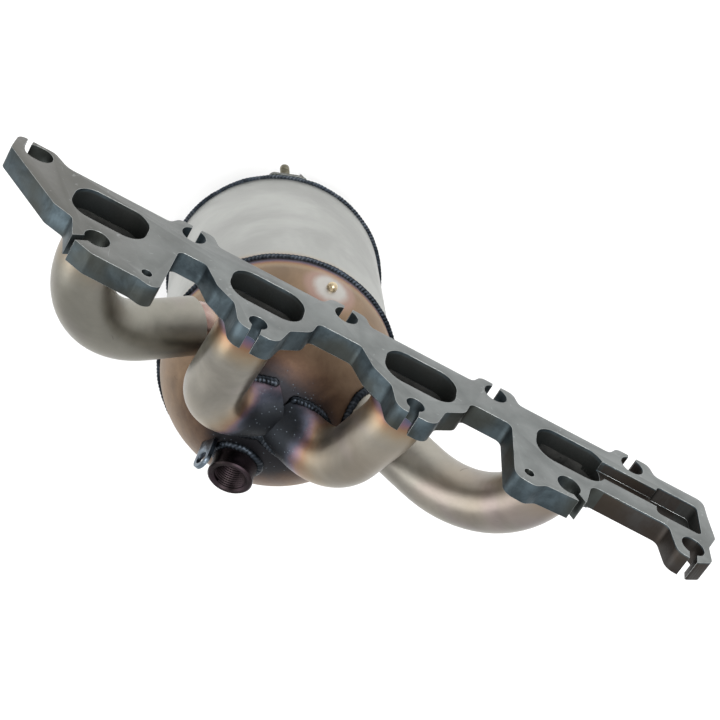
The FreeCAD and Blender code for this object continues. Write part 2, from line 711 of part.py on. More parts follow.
    # Catalyst shell and what it holds.
    mat_outer = "Sizes.cat_radius - Sizes.cat_wall"
    tube_body("catalyst_shell", "Sizes.cat_radius", mat_outer, "Sizes.cat_length", -length)
    brick_outer = "Sizes.cat_radius - Sizes.cat_wall - Sizes.mat_thickness"
    brick = size("brick_length")
    spare = (length - 2 * brick - size("brick_gap")) / 2
    for name, foot in (("front", -spare - brick), ("rear", -length + spare)):
        tube_body("brick_" + name, brick_outer, None, "Sizes.brick_length", foot)
        tube_body("mat_" + name, mat_outer, brick_outer, "Sizes.brick_length", foot)
    seal = size("seal_length")
    tube_body("seal_inlet", mat_outer, brick_outer, "Sizes.seal_length", -spare)
    tube_body("seal_outlet", mat_outer, brick_outer, "Sizes.seal_length", -length + spare - seal)
    seam_weld("inlet_seam_weld", size("cat_radius"), 0, size("inlet_seam_rise"))
    seam_weld("outlet_seam_weld", size("cat_radius"), -length, size("outlet_seam_rise"))

    # Outlet cone, pipe, flange and studs.
    foot_frame = cat_frame(-length)
    cone_outer = placed(cone_solid(0), foot_frame)
    cone_swollen = placed(cone_solid(bead), foot_frame)
    cone_inner = cone_solid(-wall)
    cone_depth = size("cone_collar") + size("cone_height") + size("neck_length")
    pipe_radius = size("pipe_outer") / 2
    slip_radius = pipe_radius + size("slip_clearance")
    through = Part.makeCylinder(slip_radius, 2 * cone_depth, V(0, 0, -2 * cone_depth))
    mouth = Part.makeCylinder(size("cat_radius") - wall, 2, V(0, 0, -1))
    neck_zone = Part.makeBox(200, 200, 40, V(-100, -100, -cone_depth - 20))
    hollow = cone_inner.fuse([through.common(neck_zone), mouth])
    cone = cone_outer.cut(placed(hollow, foot_frame))
    lower_base = foot_frame.multVec(LOWER_BOSS_FOOT)
    lower_way = lean.multVec(LOWER_BOSS_WAY)
    lower_place = direction_frame(lower_base, lower_way)
    lower, lower_outer, lower_bore = sensor_boss(lower_place, cone_outer)
    cone = largest(cone.cut(lower_bore))
    shape_part("outlet_cone", cone)
    shape_part("downstream_boss", lower)
    shape_part("downstream_boss_weld", boss_weld(lower_place, cone_swollen, cone_outer, lower_outer, bead))
    pipe_top = -length - cone_depth + size("pipe_lap")
    pipe_foot = pipe_top - size("pipe_length")
    tube_body("outlet_pipe", "Sizes.pipe_outer / 2", "Sizes.pipe_outer / 2 - Sizes.pipe_wall",
              "Sizes.pipe_length", pipe_foot)
    flange_low = pipe_foot - 2
    flange_top = flange_low + size("out_flange_thickness")
    make_outlet_flange(flange_low)
    make_outlet_studs(flange_top)
    pipe_weld("outlet_pipe_weld", -length - cone_depth, -1)
    pipe_weld("outlet_flange_weld", flange_top, 1)

    make_shield_bracket(cone_outer)


def make_shield_bracket(cone_outer):
    """Heat-shield bracket on the cone, with its stop fin and the stud that points away from the shell."""
    turn = FreeCAD.Placement(V(0, 0, 0), FreeCAD.Rotation(Z_AXIS, size("bracket_turn")))
    place = cat_frame(-size("cat_length")).multiply(turn)
    thick = size("bracket_thickness")
    low = -size("bracket_depth") - thick
    reach = size("cat_radius") - size("bracket_inset")
    points = [(V(-12, 36, low), 0), (V(-11, reach, low), 4), (V(7, reach, low), 3),
              (V(13.5, reach - 1.5, low), 3), (V(13.5, 36, low), 0)]
    outline = Part.Wire([edge.toShape() for edge in rounded_edges(points)])
    plate = Part.Face(outline).extrude(V(0, 0, thick))
    fin_face = reach - 1.7
    fin_foot = low - size("fin_length")
    corners = [V(7.5, fin_face, low + 1), V(8.8, fin_face, fin_foot), V(9.8, fin_face, fin_foot),
               V(12.5, fin_face, low + 1)]
    fin = Part.Face(Part.makePolygon(corners + [corners[0]])).extrude(V(0, -2.5, 0))
    plate = plate.fuse(fin).removeSplitter()
    spot = V(0, size("cat_radius") - size("shield_stud_inset"), 0)
    shank = Part.makeCylinder(size("shield_shank_radius"), thick + 0.6, spot + V(0, 0, low - 0.6))
    plate = plate.cut(shank)
    shape_part("shield_bracket", largest(placed(plate, place).cut(cone_outer)))
    stud_radius = size("shield_stud_radius")
    long = size("shield_stud_length")
    stud = Part.makeCylinder(stud_radius, long, V(0, 0, -long))
    ends = [edge for edge in stud.Edges if edge.CenterOfMass.z < -long + 0.1]
    stud = stud.makeFillet(0.8, [edge for edge in ends if edge.BoundBox.ZLength < 0.01])
    stud.translate(spot + V(0, 0, low))
    shape_part("shield_stud", placed(stud.fuse(shank).removeSplitter(), place))


def outlet_stud_turns():
    """Directions of the two outlet studs, opposite each other."""
    first = math.radians(size("out_turn"))
    return [first, first + math.pi]


def make_outlet_flange(low):
    body = doc.addObject("PartDesign::Body", "outlet_flange")
    sketch = new_sketch(body, "outlet_flange_outline", "XY_Plane")
    ear = size("out_ear_radius")
    slope = math.radians(38)
    reach = size("out_stud_circle") / 2 + ear / math.sin(slope)
    across = reach * math.tan(slope)
    turns = outlet_stud_turns()
    corners = []
    for turn in turns:
        corners.append((V(reach * math.cos(turn), reach * math.sin(turn), 0), ear))
        corners.append((V(-across * math.sin(turn), across * math.cos(turn), 0), size("out_side_radius")))
    sketch.addGeometry(rounded_edges(corners))
    sketch_circle(sketch, 0, 0, size("pipe_outer") / 2 + size("slip_clearance"),
                  "Sizes.pipe_outer / 2 + Sizes.slip_clearance")
    for turn in turns:
        circle = size("out_stud_circle") / 2
        sketch_circle(sketch, circle * math.cos(turn), circle * math.sin(turn),
                      size("out_shank_radius") + 0.02, "Sizes.out_shank_radius + 0.02")
    pad = body.newObject("PartDesign::Pad", "outlet_flange_plate")
    pad.Profile = sketch
    pad.Length = 10
    pad.setExpression("Length", "Sizes.out_flange_thickness")
    body.Placement = cat_frame(low)
    return keep(body, "outlet_flange")


def make_outlet_studs(flange_top):
    radius = size("out_stud_radius")
    long = size("out_stud_length")
    thick = size("out_flange_thickness") + 0.6
    studs = []
    for turn in outlet_stud_turns():
        circle = size("out_stud_circle") / 2
        shank = Part.makeCylinder(size("out_shank_radius"), thick, V(0, 0, -thick))
        head = Part.makeCylinder(size("out_head_radius"), size("out_head_height"))
        thread = Part.makeCylinder(radius, long, V(0, 0, -thick - long))
        foot = [edge for edge in thread.Edges if edge.CenterOfMass.z < -thick - long + 0.1]
        thread = thread.makeChamfer(1.2, [edge for edge in foot if edge.BoundBox.ZLength < 0.01])
        top = [edge for edge in head.Edges if edge.CenterOfMass.z > size("out_head_height") - 0.1]
        head = head.makeChamfer(0.6, [edge for edge in top if edge.BoundBox.ZLength < 0.01])
        stud = shank.fuse([head, thread]).removeSplitter()
        stud.translate(V(circle * math.cos(turn), circle * math.sin(turn), 0))
        studs.append(stud)
    shape_part("outlet_studs", Part.makeCompound(studs), cat_frame(flange_top))


def pipe_weld(label, lift, way):
    """A fillet bead round the outlet pipe, on the side given by way."""
    radius = size("pipe_outer") / 2 + size("slip_clearance")
    leg = size("cat_wall") + 1.2
    points = [V(radius, 0, 0), V(radius + leg, 0, 0), V(radius, 0, way * leg)]
    wire = Part.makePolygon(points + [points[0]])
    ring = Part.Face(wire).revolve(V(0, 0, 0), Z_AXIS, 360)
    shape_part(label, ring, cat_frame(lift))


make_all()
doc.recompute()
for thing in doc.Objects:
    if "Invalid" in thing.State or "Error" in thing.State:
        raise ValueError("%s failed: %s" % (thing.Label, thing.State))
os.makedirs("parts", exist_ok=True)
for part in subparts:
    shape = part.Shape
    if shape.isNull() or not shape.isValid() or not shape.Solids:
        raise ValueError(part.Label + " has no valid solid")
    shape.exportStep("parts/%s.step" % part.Label)
    box = shape.BoundBox
    print("%-22s solids %d volume %9.0f  x %7.1f %7.1f  y %7.1f %7.1f  z %7.1f %7.1f" % (
        part.Label, len(shape.Solids), shape.Volume, box.XMin, box.XMax, box.YMin, box.YMax, box.ZMin,
        box.ZMax))
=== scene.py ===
import math

import bmesh
import bpy
from bpy.props import FloatProperty, FloatVectorProperty, IntProperty, PointerProperty
from mathutils import Matrix, Vector
from mathutils.bvhtree import BVHTree


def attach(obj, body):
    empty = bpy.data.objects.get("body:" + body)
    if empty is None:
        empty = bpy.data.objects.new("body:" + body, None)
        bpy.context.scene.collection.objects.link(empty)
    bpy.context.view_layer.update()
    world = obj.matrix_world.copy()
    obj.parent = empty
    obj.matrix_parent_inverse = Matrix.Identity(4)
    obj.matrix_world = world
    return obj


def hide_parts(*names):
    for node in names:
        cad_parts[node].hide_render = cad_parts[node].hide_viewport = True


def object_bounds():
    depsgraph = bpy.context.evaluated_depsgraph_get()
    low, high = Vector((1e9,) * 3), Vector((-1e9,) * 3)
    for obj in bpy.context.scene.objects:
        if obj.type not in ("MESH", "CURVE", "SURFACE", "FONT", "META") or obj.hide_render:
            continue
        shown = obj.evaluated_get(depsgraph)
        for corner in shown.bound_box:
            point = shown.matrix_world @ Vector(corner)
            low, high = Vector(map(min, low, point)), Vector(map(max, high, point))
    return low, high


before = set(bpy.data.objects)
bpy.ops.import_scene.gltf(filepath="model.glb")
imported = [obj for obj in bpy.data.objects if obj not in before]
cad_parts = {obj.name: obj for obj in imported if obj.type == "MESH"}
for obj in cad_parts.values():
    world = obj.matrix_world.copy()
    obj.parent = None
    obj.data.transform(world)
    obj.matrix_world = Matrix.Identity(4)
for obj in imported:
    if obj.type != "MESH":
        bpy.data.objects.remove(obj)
CAD_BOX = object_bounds()

bl_info = {
    "name": "Exhaust Manifold Builder",
    "version": (1, 0, 0),
    "blender": (4, 5, 0),
    "location": "3D View > Sidebar > Manifold",
    "description": "Builds a welded four-into-one exhaust manifold round its CAD frame",
    "category": "Object",
}

MM = 0.001
BODY = "root"

# Head flange: X along it, gasket face at Y = 0, port line at Z = 0.
PORTS = [-129 * MM, -43 * MM, 43 * MM, 129 * MM]
FLANGE_BACK = -12.2 * MM
PORT_HALF_X = 20 * MM
PORT_HALF_Z = 13.7 * MM
PORT_CORNER = 11 * MM
OVAL_LENGTH = 11 * MM

# Catalyst: its own frame has the inlet seam's centre as origin and the shell's axis as Z.
CAT_CENTRE = Vector((-9.6, -92.7, -100.6)) * MM
CAT = (
    Matrix.Translation(CAT_CENTRE)
    @ Matrix.Rotation(math.radians(-10.6), 4, "X")
    @ Matrix.Rotation(math.radians(5.8), 4, "Y")
)
CAT_RADIUS = 65 * MM
CAT_LENGTH = 142 * MM
SHEET = 1.5 * MM
DOME_COLLAR = 6 * MM
DOME_HEIGHT = 62 * MM
DOME_KNUCKLE = 48 * MM
CONE_COLLAR = 6 * MM
CONE_HEIGHT = 42 * MM
NECK_LENGTH = 12 * MM
PIPE_RADIUS = 27 * MM
PIPE_LAP = 9 * MM
PIPE_LENGTH = 24 * MM
SLIP_GAP = 0.1 * MM
OUTLET_PLATE = 10 * MM
OUTLET_PLATE_LIFT = 2 * MM
CONE_DEPTH = CONE_COLLAR + CONE_HEIGHT + NECK_LENGTH

BOSS_RADIUS = 12.5 * MM
BOSS_BORE = 9 * MM
BOSS_HEIGHT = 21 * MM
BOSS_SINK = 12 * MM


# ---------------------------------------------------------------- sizes and colours a user may change


class ManifoldTubes(bpy.types.PropertyGroup):
    diameter: FloatProperty(
        name="Tube Diameter", description="Outside diameter of the runners", default=32 * MM,
        min=20 * MM, max=60 * MM, unit="LENGTH")
    neck_diameter: FloatProperty(
        name="Neck Diameter", description="Outside diameter of the slip neck of runner 1",
        default=26.4 * MM, min=15 * MM, max=60 * MM, unit="LENGTH")
    wall: FloatProperty(
        name="Tube Wall", description="Wall of the runners", default=1.5 * MM,
        min=0.8 * MM, max=3 * MM, unit="LENGTH")
    sides: IntProperty(
        name="Sides", description="Faces round a runner", default=96, min=24, max=160)
    waviness: FloatProperty(
        name="Waviness", description="How far the bent wall swells in and out",
        default=0.12 * MM, min=0, max=1 * MM, unit="LENGTH")


class ManifoldWelds(bpy.types.PropertyGroup):
    flange_bead: FloatProperty(
        name="Flange Bead", description="Radius of the beads at the head flange",
        default=2.2 * MM, min=1 * MM, max=6 * MM, unit="LENGTH")
    saddle_bead: FloatProperty(
        name="Saddle Bead", description="Radius of the beads where a runner meets the dome",
        default=2.6 * MM, min=1 * MM, max=6 * MM, unit="LENGTH")
    seam_width: FloatProperty(
        name="Seam Width", description="Width of the round seam beads on the catalyst",
        default=4.6 * MM, min=2 * MM, max=10 * MM, unit="LENGTH")
    seam_height: FloatProperty(
        name="Seam Height", description="How far the seam beads stand proud",
        default=0.75 * MM, min=0.3 * MM, max=3 * MM, unit="LENGTH")
    pitch: FloatProperty(
        name="Ripple Pitch", description="Distance from one weld ripple to the next",
        default=2.1 * MM, min=1 * MM, max=5 * MM, unit="LENGTH")
    depth: FloatProperty(
        name="Ripple Depth", description="Depth of the grooves between the ripples",
        default=0.3 * MM, min=0, max=1.5 * MM, unit="LENGTH")


class ManifoldFinish(bpy.types.PropertyGroup):
    face: FloatVectorProperty(
        name="Gasket Face", description="Ground steel of the gasket face", subtype="COLOR",
        size=3, min=0, max=1, default=(0.155, 0.165, 0.162))
    scale: FloatVectorProperty(
        name="Mill Scale", description="Rolled skin on the flange's edges", subtype="COLOR",
        size=3, min=0, max=1, default=(0.072, 0.095, 0.108))
    tube: FloatVectorProperty(
        name="Tube", description="Stainless of the runners", subtype="COLOR",
        size=3, min=0, max=1, default=(0.265, 0.25, 0.218))
    dome: FloatVectorProperty(
        name="Dome", description="Heat-tinted pressing of the inlet dome", subtype="COLOR",
        size=3, min=0, max=1, default=(0.200, 0.140, 0.092))
    shell: FloatVectorProperty(
        name="Shell", description="Matt stainless of the catalyst shell", subtype="COLOR",
        size=3, min=0, max=1, default=(0.345, 0.35, 0.335))
    weld: FloatVectorProperty(
        name="Weld", description="Oxide colour of the weld beads", subtype="COLOR",
        size=3, min=0, max=1, default=(0.028, 0.034, 0.042))
    boss: FloatVectorProperty(
        name="Boss", description="Burnt brown of the sensor bosses", subtype="COLOR",
        size=3, min=0, max=1, default=(0.024, 0.019, 0.019))


class ManifoldStage(bpy.types.PropertyGroup):
    floor: FloatVectorProperty(
        name="Floor", description="Colour of the floor", subtype="COLOR",
        size=3, min=0, max=1, default=(0.93, 0.93, 0.93))
    key_power: FloatProperty(
        name="Key Light", description="Power of the large soft light", default=26, min=0,
        max=500, subtype="POWER")
    fill_power: FloatProperty(
        name="Fill Light", description="Power of the soft light opposite", default=9, min=0,
        max=500, subtype="POWER")
    sky: FloatProperty(
        name="Room Light", description="Strength of the even light all round", default=0.85,
        min=0, max=5, subtype="FACTOR")


# ---------------------------------------------------------------- node helpers


def add(tree, kind, inputs=None, **settings):
    """Adds a node; inputs maps a socket's name or index to a value or to another socket."""
    node = tree.nodes.new(kind)
    for name, value in settings.items():
        setattr(node, name, value)
    for key, value in (inputs or {}).items():
        if isinstance(value, bpy.types.NodeSocket):
            tree.links.new(value, node.inputs[key])
        else:
            node.inputs[key].default_value = value
    return node


def calc(tree, operation, *values, clamp=False):
    node = add(tree, "ShaderNodeMath", dict(enumerate(values)), operation=operation)
    node.use_clamp = clamp
    return node.outputs[0]


def vector_calc(tree, operation, first, second=None, scale=None):
    node = add(tree, "ShaderNodeVectorMath", {0: first}, operation=operation)
    if second is not None:
        if isinstance(second, bpy.types.NodeSocket):
            tree.links.new(second, node.inputs[1])
        else:
            node.inputs[1].default_value = second
    if scale is not None:
        if isinstance(scale, bpy.types.NodeSocket):
            tree.links.new(scale, node.inputs["Scale"])
        else:
            node.inputs["Scale"].default_value = scale
    return node.outputs["Value" if operation in ("LENGTH", "DISTANCE", "DOT_PRODUCT") else "Vector"]


def blend_color(tree, amount, first, second, mode="MIX"):
    node = tree.nodes.new("ShaderNodeMix")
    node.data_type = "RGBA"
    node.blend_type = mode
    for key, value in ((0, amount), (6, first), (7, second)):
        if isinstance(value, bpy.types.NodeSocket):
            tree.links.new(value, node.inputs[key])
        elif key == 0:
            node.inputs[key].default_value = value
        else:
            node.inputs[key].default_value = (*value[:3], 1)
    return node.outputs[2]


def ramp(tree, value, stops):
    """A colour ramp; stops are (position, colour or grey)."""
    node = add(tree, "ShaderNodeValToRGB", {0: value})
    elements = node.color_ramp.elements
    while len(elements) < len(stops):
        elements.new(0.5)
    for element, (position, tone) in zip(elements, stops):
        element.position = position
        element.color = (*tone, 1) if hasattr(tone, "__len__") else (tone, tone, tone, 1)
    return node.outputs["Color"]


def ease(tree, value, low, high, start=0.0, end=1.0):
    node = add(tree, "ShaderNodeMapRange", {0: value, 1: low, 2: high, 3: start, 4: end},
               interpolation_type="SMOOTHSTEP")
    return node.outputs[0]


def noise(tree, vector, scale, detail=4.0, rough=0.55, distortion=0.0):
    node = add(tree, "ShaderNodeTexNoise",
               {"Vector": vector, "Scale": scale, "Detail": detail, "Roughness": rough,
                "Distortion": distortion})
    return node.outputs["Fac"] if "Fac" in node.outputs else node.outputs[0]


SOCKETS = {"float": "NodeSocketFloat", "vector": "NodeSocketVector", "color": "NodeSocketColor",
           "geometry": "NodeSocketGeometry", "material": "NodeSocketMaterial", "int": "NodeSocketInt",
           "bool": "NodeSocketBool"}


def new_tree(name, kind, inputs, outputs):
    """A node group with named sockets; inputs are (name, type, default)."""
    tree = bpy.data.node_groups.new(name, kind)
    for label, form, *default in inputs:
        socket = tree.interface.new_socket(name=label, in_out="INPUT", socket_type=SOCKETS[form])
        if default:
            socket.default_value = default[0]
    for label, form in outputs:
        tree.interface.new_socket(name=label, in_out="OUTPUT", socket_type=SOCKETS[form])
    start = tree.nodes.new("NodeGroupInput")
    end = tree.nodes.new("NodeGroupOutput")
    return tree, start.outputs, end.inputs


# ---------------------------------------------------------------- shader groups


def satin_grain_group():
    """Fine drawn grain; the vector's scale sets its direction."""
    tree, given, out = new_tree(
        "satin_grain", "ShaderNodeTree",
        [("Vector", "vector"), ("Scale", "float", 900.0), ("Strength", "float", 0.5)],
        [("Grain", "float"), ("Roughness Shift", "float")])
    fine = noise(tree, given["Vector"], given["Scale"], 3.0, 0.6)
    coarse = noise(tree, given["Vector"], calc(tree, "MULTIPLY", given["Scale"], 0.17), 5.0, 0.6)
    both = calc(tree, "ADD", calc(tree, "MULTIPLY", fine, 0.6), calc(tree, "MULTIPLY", coarse, 0.4))
    centred = calc(tree, "SUBTRACT", both, 0.5)
    tree.links.new(calc(tree, "MULTIPLY", centred, given["Strength"]), out["Roughness Shift"])
    tree.links.new(both, out["Grain"])
    return tree


def heat_tint_group():
    """Oxide colours against the distance from the hot edge, ragged by noise."""
    tree, given, out = new_tree(
        "heat_tint", "ShaderNodeTree",
        [("Vector", "vector"), ("Distance", "float"), ("Reach", "float", 0.02), ("Ragged", "float", 0.35)],
        [("Tint", "color"), ("Amount", "float")])
    wander = noise(tree, given["Vector"], 55.0, 4.0, 0.6)
    shift = calc(tree, "MULTIPLY", calc(tree, "SUBTRACT", wander, 0.5), given["Ragged"])
    part = calc(tree, "ADD", calc(tree, "DIVIDE", given["Distance"], given["Reach"]), shift, clamp=True)
    tint = ramp(tree, part, [(0.0, (0.04, 0.045, 0.065)), (0.14, (0.09, 0.105, 0.18)),
                             (0.27, (0.19, 0.10, 0.15)), (0.42, (0.28, 0.135, 0.06)),
                             (0.62, (0.35, 0.235, 0.12)), (0.85, (0.38, 0.31, 0.21))])
    amount = ramp(tree, part, [(0.0, 0.95), (0.35, 0.8), (0.7, 0.42), (1.0, 0.0)])
    tree.links.new(tint, out["Tint"])
    tree.links.new(amount, out["Amount"])
    return tree


def mottle_group():
    """Cloudy change between two colours."""
    tree, given, out = new_tree(
        "mottle", "ShaderNodeTree",
        [("Vector", "vector"), ("Scale", "float", 60.0), ("Dark", "color", (0.1, 0.1, 0.1, 1)),
         ("Light", "color", (0.2, 0.2, 0.2, 1))],
        [("Color", "color"), ("Cloud", "float")])
    cloud = noise(tree, given["Vector"], given["Scale"], 6.0, 0.62, 0.4)
    amount = ease(tree, cloud, 0.32, 0.68)
    tree.links.new(blend_color(tree, amount, given["Dark"], given["Light"]), out["Color"])
    tree.links.new(amount, out["Cloud"])
    return tree


def spatter_group():
    """Small round droplets, scattered."""
    tree, given, out = new_tree(
        "weld_spatter", "ShaderNodeTree",
        [("Vector", "vector"), ("Scale", "float", 400.0), ("Share", "float", 0.3)],
        [("Drops", "float")])
    cells = add(tree, "ShaderNodeTexVoronoi", {"Vector": given["Vector"], "Scale": given["Scale"]})
    chance = add(tree, "ShaderNodeSeparateColor", {0: cells.outputs["Color"]}).outputs[0]
    kept = calc(tree, "LESS_THAN", chance, given["Share"])
    drop = ease(tree, cells.outputs["Distance"], 0.34, 0.18)
    tree.links.new(calc(tree, "MULTIPLY", kept, drop), out["Drops"])
    return tree


def scuff_group():
    """Short thin marks in wandering directions, where a rack or a tool has rubbed."""
    tree, given, out = new_tree(
        "scuffs", "ShaderNodeTree",
        [("Vector", "vector"), ("Scale", "float", 30.0), ("Width", "float", 0.012), ("Share", "float", 0.5)],
        [("Marks", "float")])
    bent = noise(tree, given["Vector"], given["Scale"], 1.0, 0.3, 1.2)
    line = calc(tree, "ABSOLUTE", calc(tree, "SUBTRACT", bent, 0.5))
    thin = ease(tree, line, given["Width"], 0.0)
    where = noise(tree, given["Vector"], calc(tree, "MULTIPLY", given["Scale"], 2.7), 2.0, 0.5)
    limit = calc(tree, "SUBTRACT", 1.0, given["Share"])
    kept = ease(tree, where, limit, calc(tree, "ADD", limit, 0.06))
    tree.links.new(calc(tree, "MULTIPLY", thin, kept), out["Marks"])
    return tree


GROUPS = {}


def shader_group(name):
    makers = {"satin_grain": satin_grain_group, "heat_tint": heat_tint_group, "mottle": mottle_group,
              "weld_spatter": spatter_group, "scuffs": scuff_group}
    if name not in GROUPS:
        GROUPS[name] = makers[name]()
    return GROUPS[name]


def use(tree, name, inputs):
    node = add(tree, "ShaderNodeGroup", node_tree=shader_group(name))
    for key, value in inputs.items():
        if isinstance(value, bpy.types.NodeSocket):
            tree.links.new(value, node.inputs[key])
        else:
            node.inputs[key].default_value = (*value, 1) if hasattr(value, "__len__") and len(value) == 3 \
                and node.inputs[key].type == "RGBA" else value
    return node.outputs


# ---------------------------------------------------------------- materials


class Surface:
    """A material with its Principled shader and the object's own coordinates at hand."""

    def __init__(self, name, metallic=1.0, specular=0.5):
        self.material = bpy.data.materials.new(name)
        self.material.use_nodes = True
        self.tree = self.material.node_tree
        self.shader = self.tree.nodes["Principled BSDF"]
        self.shader.inputs["Metallic"].default_value = metallic
        self.shader.inputs["Specular IOR Level"].default_value = specular
        self.place = add(self.tree, "ShaderNodeTexCoord").outputs["Object"]
        split = add(self.tree, "ShaderNodeSeparateXYZ", {0: self.place})
        self.x, self.y, self.z = split.outputs[0], split.outputs[1], split.outputs[2]

    def stretched(self, x, y, z):
        node = add(self.tree, "ShaderNodeMapping", {"Vector": self.place, "Scale": (x, y, z)})
        return node.outputs[0]

    def far_from(self, point):
        return vector_calc(self.tree, "DISTANCE", self.place, tuple(point))

    def in_cat(self):
        """The coordinates in the catalyst's own frame."""
        back = CAT.inverted()
        node = add(self.tree, "ShaderNodeMapping",
                   {"Vector": self.place, "Location": tuple(back.translation),
                    "Rotation": tuple(back.to_euler("XYZ"))})
        return node.outputs[0]

    def finish(self, color, roughness, heights=(), metallic=None):
        """Links colour and roughness, and stacks (height, distance in m) pairs as bumps."""
        self.link(color, "Base Color")
        self.link(roughness, "Roughness")
        if metallic is not None:
            self.link(metallic, "Metallic")
        normal = None
        for height, distance in heights:
            bump = add(self.tree, "ShaderNodeBump", {"Height": height, "Distance": distance, "Strength": 1.0})
            if normal is not None:
                self.tree.links.new(normal, bump.inputs["Normal"])
            normal = bump.outputs[0]
        if normal is not None:
            self.tree.links.new(normal, self.shader.inputs["Normal"])
        return self.material

    def link(self, value, key):
        if isinstance(value, bpy.types.NodeSocket):
            self.tree.links.new(value, self.shader.inputs[key])
        elif key == "Base Color":
            self.shader.inputs[key].default_value = (*value[:3], 1)
        else:
            self.shader.inputs[key].default_value = value


MADE = {}


def material(name):
    if name not in MADE:
        MADE[name] = MATERIALS[name](bpy.context.scene.manifold_finish)
    return MADE[name]


def flange_material(finish):
    """Ground gasket face, rolled and flame-cut edges, sooty ports."""
    s = Surface("flange_steel")
    t = s.tree
    grain = use(t, "satin_grain", {"Vector": s.stretched(0.25, 1.0, 1.0), "Scale": 1400.0, "Strength": 0.22})
    scuffs = use(t, "scuffs", {"Vector": s.place, "Scale": 75.0, "Width": 0.02, "Share": 0.42})
    clouds = noise(t, s.place, 35.0, 4.0, 0.6)
    face = blend_color(t, ease(t, clouds, 0.3, 0.7), [c * 0.82 for c in finish.face],
                       [c * 1.18 for c in finish.face])
    warm = ease(t, s.x, -60 * MM, -190 * MM, 0.0, 0.8)
    face = blend_color(t, warm, face, [c * w for c, w in zip(finish.face, (0.62, 0.55, 0.49))])
    face = blend_color(t, calc(t, "MULTIPLY", scuffs["Marks"], 0.4), face, (0.33, 0.34, 0.34))
    side = use(t, "mottle", {"Vector": s.place, "Scale": 70.0, "Dark": [c * 0.6 for c in finish.scale],
                             "Light": [c * 1.25 for c in finish.scale]})
    olive = ease(t, noise(t, s.place, 22.0, 3.0, 0.5), 0.45, 0.62)
    skin = blend_color(t, calc(t, "MULTIPLY", olive, 0.75), side["Color"], (0.050, 0.050, 0.040))
    cuts = noise(t, s.stretched(1.0, 0.06, 1.0), 900.0, 3.0, 0.5)
    on_face = calc(t, "GREATER_THAN", s.y, -0.25 * MM)
    color = blend_color(t, on_face, skin, face)
    across = calc(t, "WRAP", s.x, 43 * MM, -43 * MM)
    across = calc(t, "ABSOLUTE", calc(t, "SUBTRACT", calc(t, "ABSOLUTE", across), 43 * MM))
    in_x = ease(t, across, 20.6 * MM, 20.2 * MM)
    in_z = ease(t, calc(t, "ABSOLUTE", s.z), 14.3 * MM, 13.9 * MM)
    deep = ease(t, s.y, -0.5 * MM, -2.5 * MM)
    sooty = calc(t, "MULTIPLY", calc(t, "MULTIPLY", in_x, in_z), deep)
    below = ease(t, s.y, -0.6 * MM, -1.2 * MM)
    pocket = calc(t, "MULTIPLY", below, calc(t, "GREATER_THAN", s.x, 149 * MM))
    color = blend_color(t, calc(t, "MULTIPLY", pocket, 0.75), color, (0.045, 0.032, 0.024))
    color = blend_color(t, calc(t, "MULTIPLY", sooty, 0.95), color, (0.008, 0.009, 0.008))
    rough = calc(t, "ADD", 0.40, grain["Roughness Shift"])
    rough = add(t, "ShaderNodeMix", {0: on_face, 2: 0.5, 3: rough}, data_type="FLOAT").outputs[0]
    metal = ease(t, sooty, 0.0, 1.0, 1.0, 0.2)
    height = calc(t, "MULTIPLY", calc(t, "SUBTRACT", 1.0, on_face), cuts)
    return s.finish(color, rough, [(grain["Grain"], 0.02 * MM), (height, 0.12 * MM)], metal)


def bright_edge_material(finish):
    """Broken edges of the flange, worn bright, their light patches partly painted highlight."""
    s = Surface("worn_edge_and_highlight")
    t = s.tree
    edge_wear_and_highlight = noise(t, s.place, 160.0, 4.0, 0.65)
    # The light patches stand partly for wear and partly for painted highlight along the edges.
    amount = ease(t, edge_wear_and_highlight, 0.30, 0.52)
    color = blend_color(t, amount, [c * 1.3 for c in finish.scale], (0.36, 0.375, 0.375))
    return s.finish(color, ease(t, edge_wear_and_highlight, 0.2, 0.8, 0.5, 0.26), [(edge_wear_and_highlight, 0.03 * MM)])


def collector_point():
    return CAT @ Vector((-2 * MM, -10 * MM, 64 * MM))


